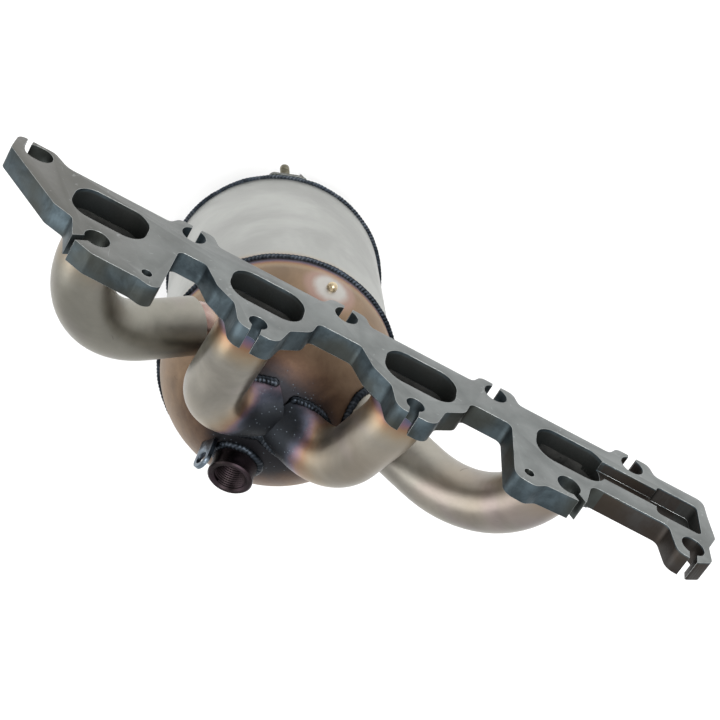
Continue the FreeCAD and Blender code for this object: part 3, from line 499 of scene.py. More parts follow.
def tube_material(finish):
    """Bent stainless, straw and purple by the flange, brown by the collector, and near-black there from heat
    blackening and painted shade.
    """
    s = Surface("runner_stainless")
    t = s.tree
    grain = use(t, "satin_grain", {"Vector": s.place, "Scale": 700.0, "Strength": 0.2})
    cloud = noise(t, s.place, 28.0, 5.0, 0.6, 0.5)
    color = blend_color(t, ease(t, cloud, 0.28, 0.72), [c * 0.78 for c in finish.tube],
                        [c * 1.22 for c in finish.tube])
    straw = noise(t, s.stretched(1.0, 0.6, 1.4), 14.0, 3.0, 0.5)
    color = blend_color(t, ease(t, straw, 0.45, 0.7, 0.0, 0.4), color, (0.30, 0.235, 0.165))
    pink = noise(t, s.stretched(1.3, 1.0, 0.7), 19.0, 2.0, 0.5, 0.8)
    color = blend_color(t, ease(t, pink, 0.5, 0.72, 0.0, 0.28), color, (0.32, 0.245, 0.28))
    olive = ease(t, s.x, -50 * MM, -90 * MM, 0.0, 0.45)
    color = blend_color(t, olive, color, (0.17, 0.172, 0.145))
    back = calc(t, "SUBTRACT", FLANGE_BACK - 1.5 * MM, s.y)
    first = use(t, "heat_tint", {"Vector": s.place, "Distance": back, "Reach": 24 * MM, "Ragged": 0.45})
    middle = ease(t, calc(t, "ABSOLUTE", s.x), 100 * MM, 70 * MM, 0.35, 1.0)
    color = blend_color(t, calc(t, "MULTIPLY", first["Amount"], middle), color, first["Tint"])
    reach = calc(t, "SUBTRACT", s.far_from(collector_point()), 19 * MM)
    second = use(t, "heat_tint", {"Vector": s.place, "Distance": reach, "Reach": 34 * MM, "Ragged": 0.6})
    color = blend_color(t, calc(t, "MULTIPLY", second["Amount"], 0.85), color, second["Tint"])
    # Near-black by the collector: partly heat blackening, partly painted shade where the runners crowd into the
    # dome.
    wander = calc(t, "MULTIPLY", calc(t, "SUBTRACT", cloud, 0.5), 22 * MM)
    burnt = ease(t, calc(t, "ADD", reach, wander), 13 * MM, -1 * MM, 0.0, 0.95)
    color = blend_color(t, burnt, color, (0.020, 0.023, 0.027))
    drops = use(t, "weld_spatter", {"Vector": s.place, "Scale": 700.0, "Share": 0.12})
    near = calc(t, "MULTIPLY", drops["Drops"], ease(t, reach, 20 * MM, 6 * MM, 0.0, 0.6))
    color = blend_color(t, near, color, (0.16, 0.19, 0.22))
    scuffs = use(t, "scuffs", {"Vector": s.place, "Scale": 26.0, "Width": 0.006, "Share": 0.36})
    color = blend_color(t, calc(t, "MULTIPLY", scuffs["Marks"], 0.75), color, (0.05, 0.045, 0.04))
    rough = calc(t, "ADD", ease(t, cloud, 0.25, 0.75, 0.33, 0.46), grain["Roughness Shift"])
    rough = calc(t, "ADD", rough, calc(t, "MULTIPLY", burnt, 0.15))
    return s.finish(color, rough, [(cloud, 0.25 * MM), (grain["Grain"], 0.015 * MM), (near, 0.2 * MM)])


def soot_material(finish):
    """Sooty inside of a pipe."""
    s = Surface("soot", metallic=0.25)
    t = s.tree
    soot = use(t, "mottle", {"Vector": s.place, "Scale": 90.0, "Dark": (0.014, 0.015, 0.014),
                             "Light": (0.045, 0.045, 0.042)})
    return s.finish(soot["Color"], 0.62, [(soot["Cloud"], 0.1 * MM)])


def neck_material(finish):
    """The slip neck, glossy and coppery from the heat."""
    s = Surface("neck_stainless")
    t = s.tree
    cloud = noise(t, s.place, 70.0, 4.0, 0.6, 0.4)
    color = blend_color(t, ease(t, cloud, 0.3, 0.7), (0.22, 0.13, 0.11), (0.36, 0.27, 0.24))
    gap = vector_calc(t, "LENGTH", s.in_cat())
    tint = use(t, "heat_tint", {"Vector": s.place, "Distance": calc(t, "SUBTRACT", gap, 62 * MM),
                                "Reach": 16 * MM, "Ragged": 0.4})
    color = blend_color(t, tint["Amount"], color, tint["Tint"])
    return s.finish(color, ease(t, cloud, 0.2, 0.8, 0.18, 0.3), [(cloud, 0.1 * MM)])


def dome_material(finish):
    """Pressed dome: tan, browner towards the collector and near-black there from heat blackening and painted
    shade, polished round the plug.
    """
    s = Surface("dome_stainless")
    t = s.tree
    grain = use(t, "satin_grain", {"Vector": s.place, "Scale": 650.0, "Strength": 0.22})
    cloud = noise(t, s.place, 24.0, 5.0, 0.62, 0.7)
    color = blend_color(t, ease(t, cloud, 0.3, 0.7), [c * 0.75 for c in finish.dome],
                        [c * 1.3 for c in finish.dome])
    reach = calc(t, "SUBTRACT", s.far_from(collector_point()), 20 * MM)
    brown = ease(t, calc(t, "ADD", reach, calc(t, "MULTIPLY", calc(t, "SUBTRACT", cloud, 0.5), 30 * MM)),
                 46 * MM, 10 * MM)
    color = blend_color(t, calc(t, "MULTIPLY", brown, 0.9), color, (0.080, 0.042, 0.028))
    # Near-black by the collector: partly heat blackening, partly painted shade in the crowded junctions.
    black = ease(t, calc(t, "ADD", reach, calc(t, "MULTIPLY", calc(t, "SUBTRACT", cloud, 0.5), 24 * MM)),
                 24 * MM, 6 * MM)
    color = blend_color(t, calc(t, "MULTIPLY", black, 0.95), color, (0.018, 0.020, 0.024))
    drops = use(t, "weld_spatter", {"Vector": s.place, "Scale": 650.0, "Share": 0.14})
    near = calc(t, "MULTIPLY", drops["Drops"], ease(t, reach, 22 * MM, 4 * MM, 0.0, 0.6))
    color = blend_color(t, near, color, (0.15, 0.18, 0.21))
    plug = CAT @ Vector((0, 61 * MM, 22 * MM))
    patch = calc(t, "ADD", s.far_from(plug), calc(t, "MULTIPLY", calc(t, "SUBTRACT", cloud, 0.5), 9 * MM))
    ring = calc(t, "MULTIPLY", ease(t, patch, 18 * MM, 13 * MM), 0.5)
    color = blend_color(t, ring, color, (0.36, 0.24, 0.22))
    polished = ease(t, patch, 13 * MM, 7 * MM)
    color = blend_color(t, calc(t, "MULTIPLY", polished, 0.85), color, (0.42, 0.42, 0.40))
    low = add(t, "ShaderNodeSeparateXYZ", {0: s.in_cat()}).outputs[2]
    seam = use(t, "heat_tint", {"Vector": s.place, "Distance": calc(t, "SUBTRACT", low, 2 * MM),
                                "Reach": 12 * MM, "Ragged": 0.4})
    color = blend_color(t, calc(t, "MULTIPLY", seam["Amount"], 0.75), color, seam["Tint"])
    scuffs = use(t, "scuffs", {"Vector": s.place, "Scale": 42.0, "Width": 0.012, "Share": 0.34})
    color = blend_color(t, calc(t, "MULTIPLY", scuffs["Marks"], 0.7), color, (0.05, 0.04, 0.035))
    rough = calc(t, "ADD", ease(t, cloud, 0.25, 0.75, 0.42, 0.56), grain["Roughness Shift"])
    return s.finish(color, rough, [(cloud, 0.3 * MM), (grain["Grain"], 0.015 * MM), (near, 0.2 * MM)])


def shell_material(finish):
    """Rolled shell, matt, faintly drawn round its axis, tan beside the seams."""
    s = Surface("shell_stainless")
    t = s.tree
    local = s.in_cat()
    height = add(t, "ShaderNodeSeparateXYZ", {0: local}).outputs[2]
    rolled = add(t, "ShaderNodeMapping", {"Vector": local, "Scale": (0.15, 0.15, 1.0)}).outputs[0]
    grain = use(t, "satin_grain", {"Vector": rolled, "Scale": 1100.0, "Strength": 0.16})
    cloud = noise(t, s.place, 16.0, 4.0, 0.6, 0.4)
    color = blend_color(t, ease(t, cloud, 0.3, 0.7), [c * 0.86 for c in finish.shell],
                        [min(1.0, c * 1.12) for c in finish.shell])
    tint = use(t, "heat_tint", {"Vector": s.place, "Distance": calc(t, "MULTIPLY", height, -1.0),
                                "Reach": 13 * MM, "Ragged": 0.35})
    color = blend_color(t, calc(t, "MULTIPLY", tint["Amount"], 0.55), color, tint["Tint"])
    scuffs = use(t, "scuffs", {"Vector": s.place, "Scale": 24.0, "Width": 0.007, "Share": 0.36})
    color = blend_color(t, calc(t, "MULTIPLY", scuffs["Marks"], 0.35), color, (0.15, 0.13, 0.11))
    rough = calc(t, "ADD", 0.54, grain["Roughness Shift"])
    return s.finish(color, rough, [(grain["Grain"], 0.02 * MM), (cloud, 0.15 * MM)])


def weld_material(finish):
    """Weld metal: dark oxide in the valleys, with a painted silver-blue highlight on the crests of the ripples."""
    s = Surface("weld_bead")
    t = s.tree
    crest = add(t, "ShaderNodeAttribute", attribute_name="ripple").outputs["Fac"]
    cloud = noise(t, s.place, 130.0, 4.0, 0.6, 0.3)
    dark = blend_color(t, ease(t, cloud, 0.35, 0.65), [c * 0.55 for c in finish.weld], finish.weld)
    light = blend_color(t, ease(t, noise(t, s.place, 60.0, 3.0, 0.5), 0.4, 0.62), (0.055, 0.07, 0.095),
                        (0.12, 0.13, 0.145))
    # Painted highlight: the crests of the ripples are lightened to silver-blue.
    crest_highlight = calc(t, "MULTIPLY", ease(t, crest, 0.45, 1.0), ease(t, cloud, 0.4, 0.7, 0.08, 0.7))
    color = blend_color(t, crest_highlight, dark, light)
    rough = ease(t, cloud, 0.2, 0.8, 0.30, 0.52)
    return s.finish(color, rough, [(cloud, 0.15 * MM)])


def boss_material(finish):
    """Turned boss, burnt brown and purple-black."""
    s = Surface("boss_steel")
    t = s.tree
    burn = use(t, "mottle", {"Vector": s.place, "Scale": 95.0, "Dark": [c * 0.55 for c in finish.boss],
                             "Light": [c * 1.7 for c in finish.boss]})
    purple = ease(t, noise(t, s.place, 48.0, 3.0, 0.5), 0.45, 0.66, 0.0, 0.5)
    color = blend_color(t, purple, burn["Color"], (0.045, 0.030, 0.040))
    return s.finish(color, ease(t, burn["Cloud"], 0.0, 1.0, 0.34, 0.5), [(burn["Cloud"], 0.08 * MM)])


def tab_material(finish):
    """Stamped tab, silver-blue edges over a burnt face."""
    s = Surface("tab_steel")
    t = s.tree
    burn = use(t, "mottle", {"Vector": s.place, "Scale": 140.0, "Dark": (0.035, 0.04, 0.05),
                             "Light": (0.17, 0.21, 0.25)})
    return s.finish(burn["Color"], 0.36, [(burn["Cloud"], 0.1 * MM)])


def plug_material(finish):
    """Dull yellow plug."""
    s = Surface("plug_metal")
    t = s.tree
    tone = use(t, "mottle", {"Vector": s.place, "Scale": 320.0, "Dark": (0.26, 0.20, 0.12),
                             "Light": (0.60, 0.50, 0.34)})
    return s.finish(tone["Color"], 0.34, [(tone["Cloud"], 0.05 * MM)])


def plate_material(finish):
    """Outlet flange and bracket: dark olive rolled plate."""
    s = Surface("outlet_plate")
    t = s.tree
    tone = use(t, "mottle", {"Vector": s.place, "Scale": 80.0, "Dark": (0.045, 0.046, 0.036),
                             "Light": (0.11, 0.113, 0.10)})
    rust = ease(t, noise(t, s.place, 55.0, 5.0, 0.65), 0.58, 0.74, 0.0, 0.5)
    color = blend_color(t, rust, tone["Color"], (0.14, 0.075, 0.04))
    return s.finish(color, ease(t, tone["Cloud"], 0.0, 1.0, 0.42, 0.6), [(tone["Cloud"], 0.12 * MM)])


def fastener_material(finish):
    """Passivated studs."""
    s = Surface("stud_steel")
    t = s.tree
    tone = use(t, "mottle", {"Vector": s.place, "Scale": 260.0, "Dark": (0.10, 0.092, 0.065),
                             "Light": (0.25, 0.235, 0.18)})
    return s.finish(tone["Color"], 0.33, [(tone["Cloud"], 0.04 * MM)])


def ceramic_material(finish):
    """Square-celled ceramic face, its open cells painted near-black as painted shade, and a smooth skin round it.
    """
    s = Surface("honeycomb_ceramic", metallic=0.0, specular=0.3)
    t = s.tree
    local = add(t, "ShaderNodeSeparateXYZ", {0: s.in_cat()})
    cell = 1.27 * MM
    walls = None
    for axis in (local.outputs[0], local.outputs[1]):
        part = calc(t, "FRACT", calc(t, "DIVIDE", axis, cell))
        wall = calc(t, "GREATER_THAN", calc(t, "ABSOLUTE", calc(t, "SUBTRACT", part, 0.5)), 0.40)
        walls = wall if walls is None else calc(t, "MAXIMUM", walls, wall)
    cloud = noise(t, s.place, 60.0, 4.0, 0.6)
    clay = blend_color(t, ease(t, cloud, 0.3, 0.7), (0.30, 0.27, 0.22), (0.44, 0.40, 0.33))
    # Painted shade: the open cells are near-black and the walls between them are clay.
    color = blend_color(t, walls, (0.02, 0.02, 0.018), clay)
    return s.finish(color, 0.85, [(walls, 0.5 * MM)])


def mat_material(finish):
    """Swelling fibre mat."""
    s = Surface("fibre_mat", metallic=0.0, specular=0.2)
    t = s.tree
    tone = use(t, "mottle", {"Vector": s.stretched(1.0, 1.0, 0.3), "Scale": 420.0,
                             "Dark": (0.46, 0.43, 0.37), "Light": (0.74, 0.72, 0.66)})
    return s.finish(tone["Color"], 0.9, [(tone["Cloud"], 0.3 * MM)])


def mesh_material(finish):
    """Knitted wire of the seals."""
    s = Surface("knitted_wire")
    t = s.tree
    knit = add(t, "ShaderNodeTexWave", {"Vector": s.place, "Scale": 260.0, "Distortion": 6.0, "Detail": 2.0})
    color = blend_color(t, knit.outputs["Fac"], (0.10, 0.10, 0.10), (0.46, 0.46, 0.45))
    return s.finish(color, 0.4, [(knit.outputs["Fac"], 0.3 * MM)])


def floor_material(finish):
    """Plain pale floor."""
    s = Surface("pale_floor", metallic=0.0, specular=0.2)
    t = s.tree
    floor = bpy.context.scene.manifold_stage.floor
    cloud = noise(t, s.place, 3.0, 2.0, 0.5)
    color = blend_color(t, cloud, [c * 0.99 for c in floor], floor)
    return s.finish(color, 0.75)


MATERIALS = {
    "flange": flange_material, "edge": bright_edge_material, "tube": tube_material, "soot": soot_material,
    "neck": neck_material, "dome": dome_material, "shell": shell_material, "weld": weld_material,
    "boss": boss_material, "tab": tab_material, "plug": plug_material, "plate": plate_material,
    "fastener": fastener_material, "ceramic": ceramic_material, "mat": mat_material,
    "mesh": mesh_material, "floor": floor_material,
}


# ---------------------------------------------------------------- geometry node trees


def bent_line(tree, given):
    """Path points to a curve: corners rounded by each point's own bend radius, then evenly divided."""
    line = add(tree, "GeometryNodeMeshToCurve", {0: given["Geometry"]}).outputs[0]
    bend = add(tree, "GeometryNodeInputNamedAttribute", {"Name": "bend"}, data_type="FLOAT").outputs[0]
    turned = add(tree, "GeometryNodeFilletCurve",
                 {"Curve": line, "Count": 20, "Radius": bend, "Limit Radius": True}, mode="POLY")
    even = add(tree, "GeometryNodeResampleCurve",
               {"Curve": turned.outputs[0], "Length": given["Step"]}, mode="LENGTH")
    return even.outputs[0]


def bent_tube_tree():
    """A round tube along a path; its flange end turns into the port's oblong shape."""
    tree, given, out = new_tree(
        "bent_tube", "GeometryNodeTree",
        [("Geometry", "geometry"), ("Radius", "float", 16 * MM), ("Sides", "int", 96),
         ("Step", "float", 1.6 * MM), ("Port", "float", 0.0), ("Oval", "float", 0.0),
         ("Half Width", "float", 21.5 * MM), ("Half Height", "float", 15.2 * MM),
         ("Corner", "float", 12.5 * MM), ("Waviness", "float", 0.0), ("Closed", "bool", False),
         ("Seed", "float", 0.0), ("Material", "material")],
        [("Geometry", "geometry")])
    line = bent_line(tree, given)
    ring = add(tree, "GeometryNodeCurvePrimitiveCircle", {"Resolution": given["Sides"], "Radius": given["Radius"]})
    tube = add(tree, "GeometryNodeCurveToMesh",
               {"Curve": line, "Profile Curve": ring.outputs[0], "Fill Caps": given["Closed"]}).outputs[0]
    place = add(tree, "GeometryNodeInputPosition").outputs[0]
    normal = add(tree, "GeometryNodeInputNormal").outputs[0]
    wave = add(tree, "ShaderNodeTexNoise", {"Vector": place, "W": given["Seed"], "Scale": 38.0, "Detail": 1.0},
               noise_dimensions="4D").outputs[0]
    swell = calc(tree, "MULTIPLY", calc(tree, "SUBTRACT", wave, 0.5), given["Waviness"])
    tube = add(tree, "GeometryNodeSetPosition",
               {"Geometry": tube, "Offset": vector_calc(tree, "SCALE", normal, scale=swell)}).outputs[0]
    axes = add(tree, "ShaderNodeSeparateXYZ", {0: place}).outputs
    off_x = calc(tree, "SUBTRACT", axes[0], given["Port"])
    far = calc(tree, "SQRT", calc(tree, "ADD", calc(tree, "MULTIPLY", off_x, off_x),
                                  calc(tree, "MULTIPLY", axes[2], axes[2])))
    parts = []
    for off, half in ((off_x, given["Half Width"]), (axes[2], given["Half Height"])):
        share = calc(tree, "DIVIDE", off, calc(tree, "MAXIMUM", far, 1e-6))
        side = calc(tree, "MINIMUM", calc(tree, "MAXIMUM", calc(tree, "MULTIPLY", share, 4.0), -1.0), 1.0)
        flat = calc(tree, "MULTIPLY", side, calc(tree, "SUBTRACT", half, given["Corner"]))
        full = calc(tree, "ADD", flat, calc(tree, "MULTIPLY", share, given["Corner"]))
        parts.append(full)
    near = ease(tree, axes[1], FLANGE_BACK - OVAL_LENGTH, FLANGE_BACK)
    amount = calc(tree, "MULTIPLY", near, given["Oval"])
    oblong = add(tree, "ShaderNodeCombineXYZ", {0: calc(tree, "ADD", parts[0], given["Port"]), 1: axes[1],
                                                2: parts[1]}).outputs[0]
    mixed = add(tree, "ShaderNodeMix", {0: amount, 4: place, 5: oblong}, data_type="VECTOR").outputs[1]
    tube = add(tree, "GeometryNodeSetPosition", {"Geometry": tube, "Position": mixed}).outputs[0]
    finish_tree(tree, tube, given, out)
    return tree


def weld_bead_tree():
    """A bead along a path: crescent ripples, lumps, and the ripple's height kept for the finish."""
    tree, given, out = new_tree(
        "weld_bead", "GeometryNodeTree",
        [("Geometry", "geometry"), ("Width", "float", 5 * MM), ("Height", "float", 2 * MM),
         ("Sides", "int", 16), ("Step", "float", 0.42 * MM), ("Ripple Pitch", "float", 2.2 * MM),
         ("Ripple Depth", "float", 0.4 * MM), ("Lumps", "float", 0.5 * MM), ("Wander", "float", 0.3 * MM),
         ("Level", "bool", False), ("Seed", "float", 0.0), ("Material", "material")],
        [("Geometry", "geometry")])
    line = bent_line(tree, given)
    level = add(tree, "GeometryNodeSetCurveNormal", {"Curve": line}, mode="Z_UP").outputs[0]
    line = add(tree, "GeometryNodeSwitch", {0: given["Level"], 1: line, 2: level},
               input_type="GEOMETRY").outputs[0]
    place = add(tree, "GeometryNodeInputPosition").outputs[0]
    drift = add(tree, "ShaderNodeTexNoise", {"Vector": place, "W": given["Seed"], "Scale": 90.0, "Detail": 1.0},
                noise_dimensions="4D").outputs["Color"]
    drift = vector_calc(tree, "SUBTRACT", drift, (0.5, 0.5, 0.5))
    line = add(tree, "GeometryNodeSetPosition",
               {"Geometry": line, "Offset": vector_calc(tree, "SCALE", drift, scale=given["Wander"])}).outputs[0]
    kept = tree.nodes.new("GeometryNodeCaptureAttribute")
    kept.capture_items.new("FLOAT", "Run")
    tree.links.new(line, kept.inputs[0])
    tree.links.new(add(tree, "GeometryNodeSplineParameter").outputs["Length"], kept.inputs[1])
    ring = add(tree, "GeometryNodeCurvePrimitiveCircle", {"Resolution": given["Sides"], "Radius": 1.0}).outputs[0]
    edge = tree.nodes.new("GeometryNodeCaptureAttribute")
    edge.capture_items.new("VECTOR", "Rim")
    tree.links.new(ring, edge.inputs[0])
    tree.links.new(place, edge.inputs[1])
    half = calc(tree, "MULTIPLY", given["Width"], 0.5)
    shape = add(tree, "ShaderNodeCombineXYZ", {0: half, 1: given["Height"], 2: 1.0}).outputs[0]
    sized = add(tree, "GeometryNodeTransform", {"Geometry": edge.outputs[0], "Scale": shape}).outputs[0]
    bead = add(tree, "GeometryNodeCurveToMesh", {"Curve": kept.outputs[0], "Profile Curve": sized}).outputs[0]
    across = add(tree, "ShaderNodeSeparateXYZ", {0: edge.outputs[1]}).outputs[0]
    crescent = calc(tree, "MULTIPLY", calc(tree, "MULTIPLY", across, across), 0.55)
    warp = add(tree, "ShaderNodeTexNoise", {"Vector": place, "W": given["Seed"], "Scale": 260.0, "Detail": 2.0},
               noise_dimensions="4D").outputs[0]
    turns = calc(tree, "DIVIDE", kept.outputs[1], given["Ripple Pitch"])
    turns = calc(tree, "ADD", calc(tree, "ADD", turns, crescent), calc(tree, "MULTIPLY", warp, 0.9))
    hump = calc(tree, "ABSOLUTE", calc(tree, "SINE", calc(tree, "MULTIPLY", turns, math.pi)))
    lump = add(tree, "ShaderNodeTexNoise", {"Vector": place, "W": given["Seed"], "Scale": 150.0, "Detail": 2.0},
               noise_dimensions="4D").outputs[0]
    rise = calc(tree, "ADD", calc(tree, "MULTIPLY", calc(tree, "SUBTRACT", hump, 0.8), given["Ripple Depth"]),
                calc(tree, "MULTIPLY", calc(tree, "SUBTRACT", lump, 0.5), given["Lumps"]))
    bead = add(tree, "GeometryNodeStoreNamedAttribute", {"Geometry": bead, "Name": "ripple", "Value": hump},
               data_type="FLOAT", domain="POINT").outputs[0]
    normal = add(tree, "GeometryNodeInputNormal").outputs[0]
    bead = add(tree, "GeometryNodeSetPosition",
               {"Geometry": bead, "Offset": vector_calc(tree, "SCALE", normal, scale=rise)}).outputs[0]
    finish_tree(tree, bead, given, out)
    return tree


def screw_thread_tree():
    """A helical ridge about Z; it lies on a stud or lines a bore."""
    tree, given, out = new_tree(
        "screw_thread", "GeometryNodeTree",
        [("Geometry", "geometry"), ("Radius", "float", 5 * MM), ("Length", "float", 20 * MM),
         ("Pitch", "float", 1.25 * MM), ("Depth", "float", 0.5 * MM), ("Material", "material")],
        [("Geometry", "geometry")])
    turns = calc(tree, "DIVIDE", given["Length"], given["Pitch"])
    helix = add(tree, "GeometryNodeCurveSpiral",
                {"Resolution": 36, "Rotations": turns, "Start Radius": given["Radius"],
                 "End Radius": given["Radius"], "Height": given["Length"]}).outputs[0]
    helix = add(tree, "GeometryNodeSetCurveNormal", {"Curve": helix}, mode="Z_UP").outputs[0]
    ridge = add(tree, "GeometryNodeCurvePrimitiveCircle", {"Resolution": 4, "Radius": given["Depth"]}).outputs[0]
    thread = add(tree, "GeometryNodeCurveToMesh",
                 {"Curve": helix, "Profile Curve": ridge, "Fill Caps": True}).outputs[0]
    finish_tree(tree, thread, given, out)
    return tree


def finish_tree(tree, geometry, given, out):
    solid = add(tree, "GeometryNodeRealizeInstances", {0: geometry}).outputs[0]
    painted = add(tree, "GeometryNodeSetMaterial", {"Geometry": solid, "Material": given["Material"]}).outputs[0]
    tree.links.new(painted, out["Geometry"])


TREES = {}


def shape_tree(name):
    makers = {"bent_tube": bent_tube_tree, "weld_bead": weld_bead_tree, "screw_thread": screw_thread_tree}
    if name not in TREES:
        TREES[name] = makers[name]()
    return TREES[name]


# ---------------------------------------------------------------- mesh helpers


def linked(name, mesh):
    thing = bpy.data.objects.new(name, mesh)
    bpy.context.scene.collection.objects.link(thing)
    return thing


def evaluated_mesh(thing):
    bpy.context.view_layer.update()
    graph = bpy.context.evaluated_depsgraph_get()
    return bpy.data.meshes.new_from_object(thing.evaluated_get(graph))


def shaped(tree_name, mesh, values):
    """Runs a geometry node tree on a mesh and returns the result as a plain mesh."""
    thing = linked("shaping", mesh)
    modifier = thing.modifiers.new("shape", "NODES")
    modifier.node_group = shape_tree(tree_name)
    for item in modifier.node_group.interface.items_tree:
        if item.in_out == "INPUT" and item.name in values:
            modifier[item.identifier] = values[item.name]
    result = evaluated_mesh(thing)
    bpy.data.objects.remove(thing)
    return result


def modified(mesh, kind, **settings):
    """Applies one modifier to a mesh and returns the result."""
    thing = linked("modifying", mesh)
    modifier = thing.modifiers.new("change", kind)
    for name, value in settings.items():
        setattr(modifier, name, value)
    result = evaluated_mesh(thing)
    bpy.data.objects.remove(thing)
    return result


def without(mesh, *tools):
    """The mesh with closed tool meshes cut away."""
    for tool in tools:
        cutter = linked("cutter", tool)
        mesh = modified(mesh, "BOOLEAN", operation="DIFFERENCE", object=cutter, solver="EXACT")
        bpy.data.objects.remove(cutter)
    return mesh


def path_mesh(points, bends=None, closed=False):
    count = len(points)
    edges = [(i, i + 1) for i in range(count - 1)] + ([(count - 1, 0)] if closed else [])
    mesh = bpy.data.meshes.new("path")
    mesh.from_pydata([tuple(point) for point in points], edges, [])
    attribute = mesh.attributes.new("bend", "FLOAT", "POINT")
    attribute.data.foreach_set("value", list(bends or [0.0] * count))
    return mesh


def lathe(outline, segments=128, closed=True):
    """Turns (radius, height) points about Z; a closed outline makes a ring, an open one ends on the axis."""
    verts = []
    rows = []
    for radius, height in outline:
        if radius < 1e-7:
            rows.append([len(verts)] * segments)
            verts.append((0, 0, height))
            continue
        rows.append(range(len(verts), len(verts) + segments))
        for step in range(segments):
            angle = 2 * math.pi * step / segments
            verts.append((radius * math.cos(angle), radius * math.sin(angle), height))
    faces = []
    pairs = list(zip(rows, rows[1:]))
    if closed:
        pairs.append((rows[-1], rows[0]))
    for low, high in pairs:
        for step in range(segments):
            other = (step + 1) % segments
            corners = [low[step], low[other], high[other], high[step]]
            face = list(dict.fromkeys(corners))
            if len(face) > 2:
                faces.append(face)
    mesh = bpy.data.meshes.new("turned")
    mesh.from_pydata(verts, [], faces)
    facing_out(mesh)
    return mesh


def facing_out(mesh):
    work = bmesh.new()
    work.from_mesh(mesh)
    bmesh.ops.recalc_face_normals(work, faces=work.faces)
    work.to_mesh(mesh)
    work.free()


def arc(centre, radius, start, end, steps):
    """Points on an arc in the (radius, height) plane; angles in degrees."""
    turns = [math.radians(start + (end - start) * step / steps) for step in range(steps + 1)]
    return [(centre[0] + radius * math.cos(turn), centre[1] + radius * math.sin(turn)) for turn in turns]


def merged_copy(node, flat_angle=0.6):
    """A welded copy of a CAD node's mesh, its flat faces made whole."""
    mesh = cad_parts[node].data.copy()
    work = bmesh.new()
    work.from_mesh(mesh)
    bmesh.ops.remove_doubles(work, verts=work.verts, dist=0.004 * MM)
    bmesh.ops.dissolve_limit(work, angle_limit=math.radians(flat_angle), verts=work.verts, edges=work.edges)
    work.to_mesh(mesh)
    work.free()
    return mesh


def softened(mesh, width, materials, angle=35.0):
    """Breaks the sharp edges of a mesh; the broken edges take the last material."""
    mesh.materials.clear()
    for item in materials:
        mesh.materials.append(item)
    mesh.polygons.foreach_set("material_index", [0] * len(mesh.polygons))
    return modified(mesh, "BEVEL", width=width, segments=2, limit_method="ANGLE",
                    angle_limit=math.radians(angle), material=len(materials) - 1,
                    use_clamp_overlap=True, loop_slide=True)


def piece(name, mesh, nodes, materials=None, angle=35.0):
    """Makes a finished mesh a piece of the object in place of its CAD nodes."""
    if not mesh.polygons:
        raise RuntimeError("%s has no faces" % name)
    mesh.name = name
    if materials is not None:
        mesh.materials.clear()
        for item in materials:
            mesh.materials.append(item)
    mesh.shade_smooth()
    mesh.set_sharp_from_angle(angle=math.radians(angle))
    thing = linked(name, mesh)
    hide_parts(*nodes)
    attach(thing, BODY)
    return thing


def joined(meshes):
    """One mesh of several, their materials kept."""
    work = bmesh.new()
    slots = []
    for mesh in meshes:
        if not mesh.materials:
            raise RuntimeError("a mesh to be joined has no material")
        places = []
        for item in mesh.materials:
            if item not in slots:
                slots.append(item)
            places.append(slots.index(item))
        before = len(work.faces)
        work.from_mesh(mesh)
        work.faces.ensure_lookup_table()
        for face in work.faces[before:]:
            face.material_index = places[min(face.material_index, len(places) - 1)]
    result = bpy.data.meshes.new("joined")
    work.to_mesh(result)
    work.free()
    for item in slots:
        result.materials.append(item)
    return result


def painted(mesh, *names):
    mesh.materials.clear()
    for name in names:
        mesh.materials.append(material(name))
    return mesh


# ---------------------------------------------------------------- the object's own shapes


def dome_outline(inset=0.0):
    """Collar, knuckle and crown of the dome, from its foot to the axis."""
    side = CAT_RADIUS - DOME_KNUCKLE
    crown = (side ** 2 + DOME_HEIGHT ** 2 - DOME_KNUCKLE ** 2) / (2 * (DOME_HEIGHT - DOME_KNUCKLE))
    turn = math.degrees(math.atan2(crown - DOME_HEIGHT, side))
    foot = [(CAT_RADIUS - inset, 0.0)]
    knuckle = arc((side, DOME_COLLAR), DOME_KNUCKLE - inset, 0, turn, 28)
    top = arc((0, DOME_COLLAR + DOME_HEIGHT - crown), crown - inset, turn, 90, 30)
    top[-1] = (0.0, top[-1][1])
    return foot + knuckle + top[1:]


def dome_tool():
    """The dome's outer shape as a closed solid."""
    mesh = lathe([(0.0, -40 * MM), (CAT_RADIUS, -40 * MM)] + dome_outline(), 160, closed=False)
    mesh.transform(CAT)
    return mesh


def cone_outline(inset=0.0):
    """Outlet cone, from the shell's end down to the neck's foot."""
    radius = CAT_RADIUS - inset
    neck = PIPE_RADIUS + SLIP_GAP + SHEET - inset
    low = -CONE_COLLAR - CONE_HEIGHT
    rows = [(radius, 0.0)]
    for step in range(25):
        part = step / 24
        eased = part * part * (3 - 2 * part)
        blended = 0.35 * eased + 0.65 * part
        rows.append((radius + (neck - radius) * blended, -CONE_COLLAR - CONE_HEIGHT * part))
    rows.append((neck, low - NECK_LENGTH))
    return rows


def cone_tool():
    """The outlet cone's outer shape as a closed solid."""
    rows = cone_outline()
    mesh = lathe([(0.0, 0.0)] + rows + [(0.0, rows[-1][1])], 128, closed=False)
    mesh.transform(CAT @ Matrix.Translation((0, 0, -CAT_LENGTH)))
    return mesh


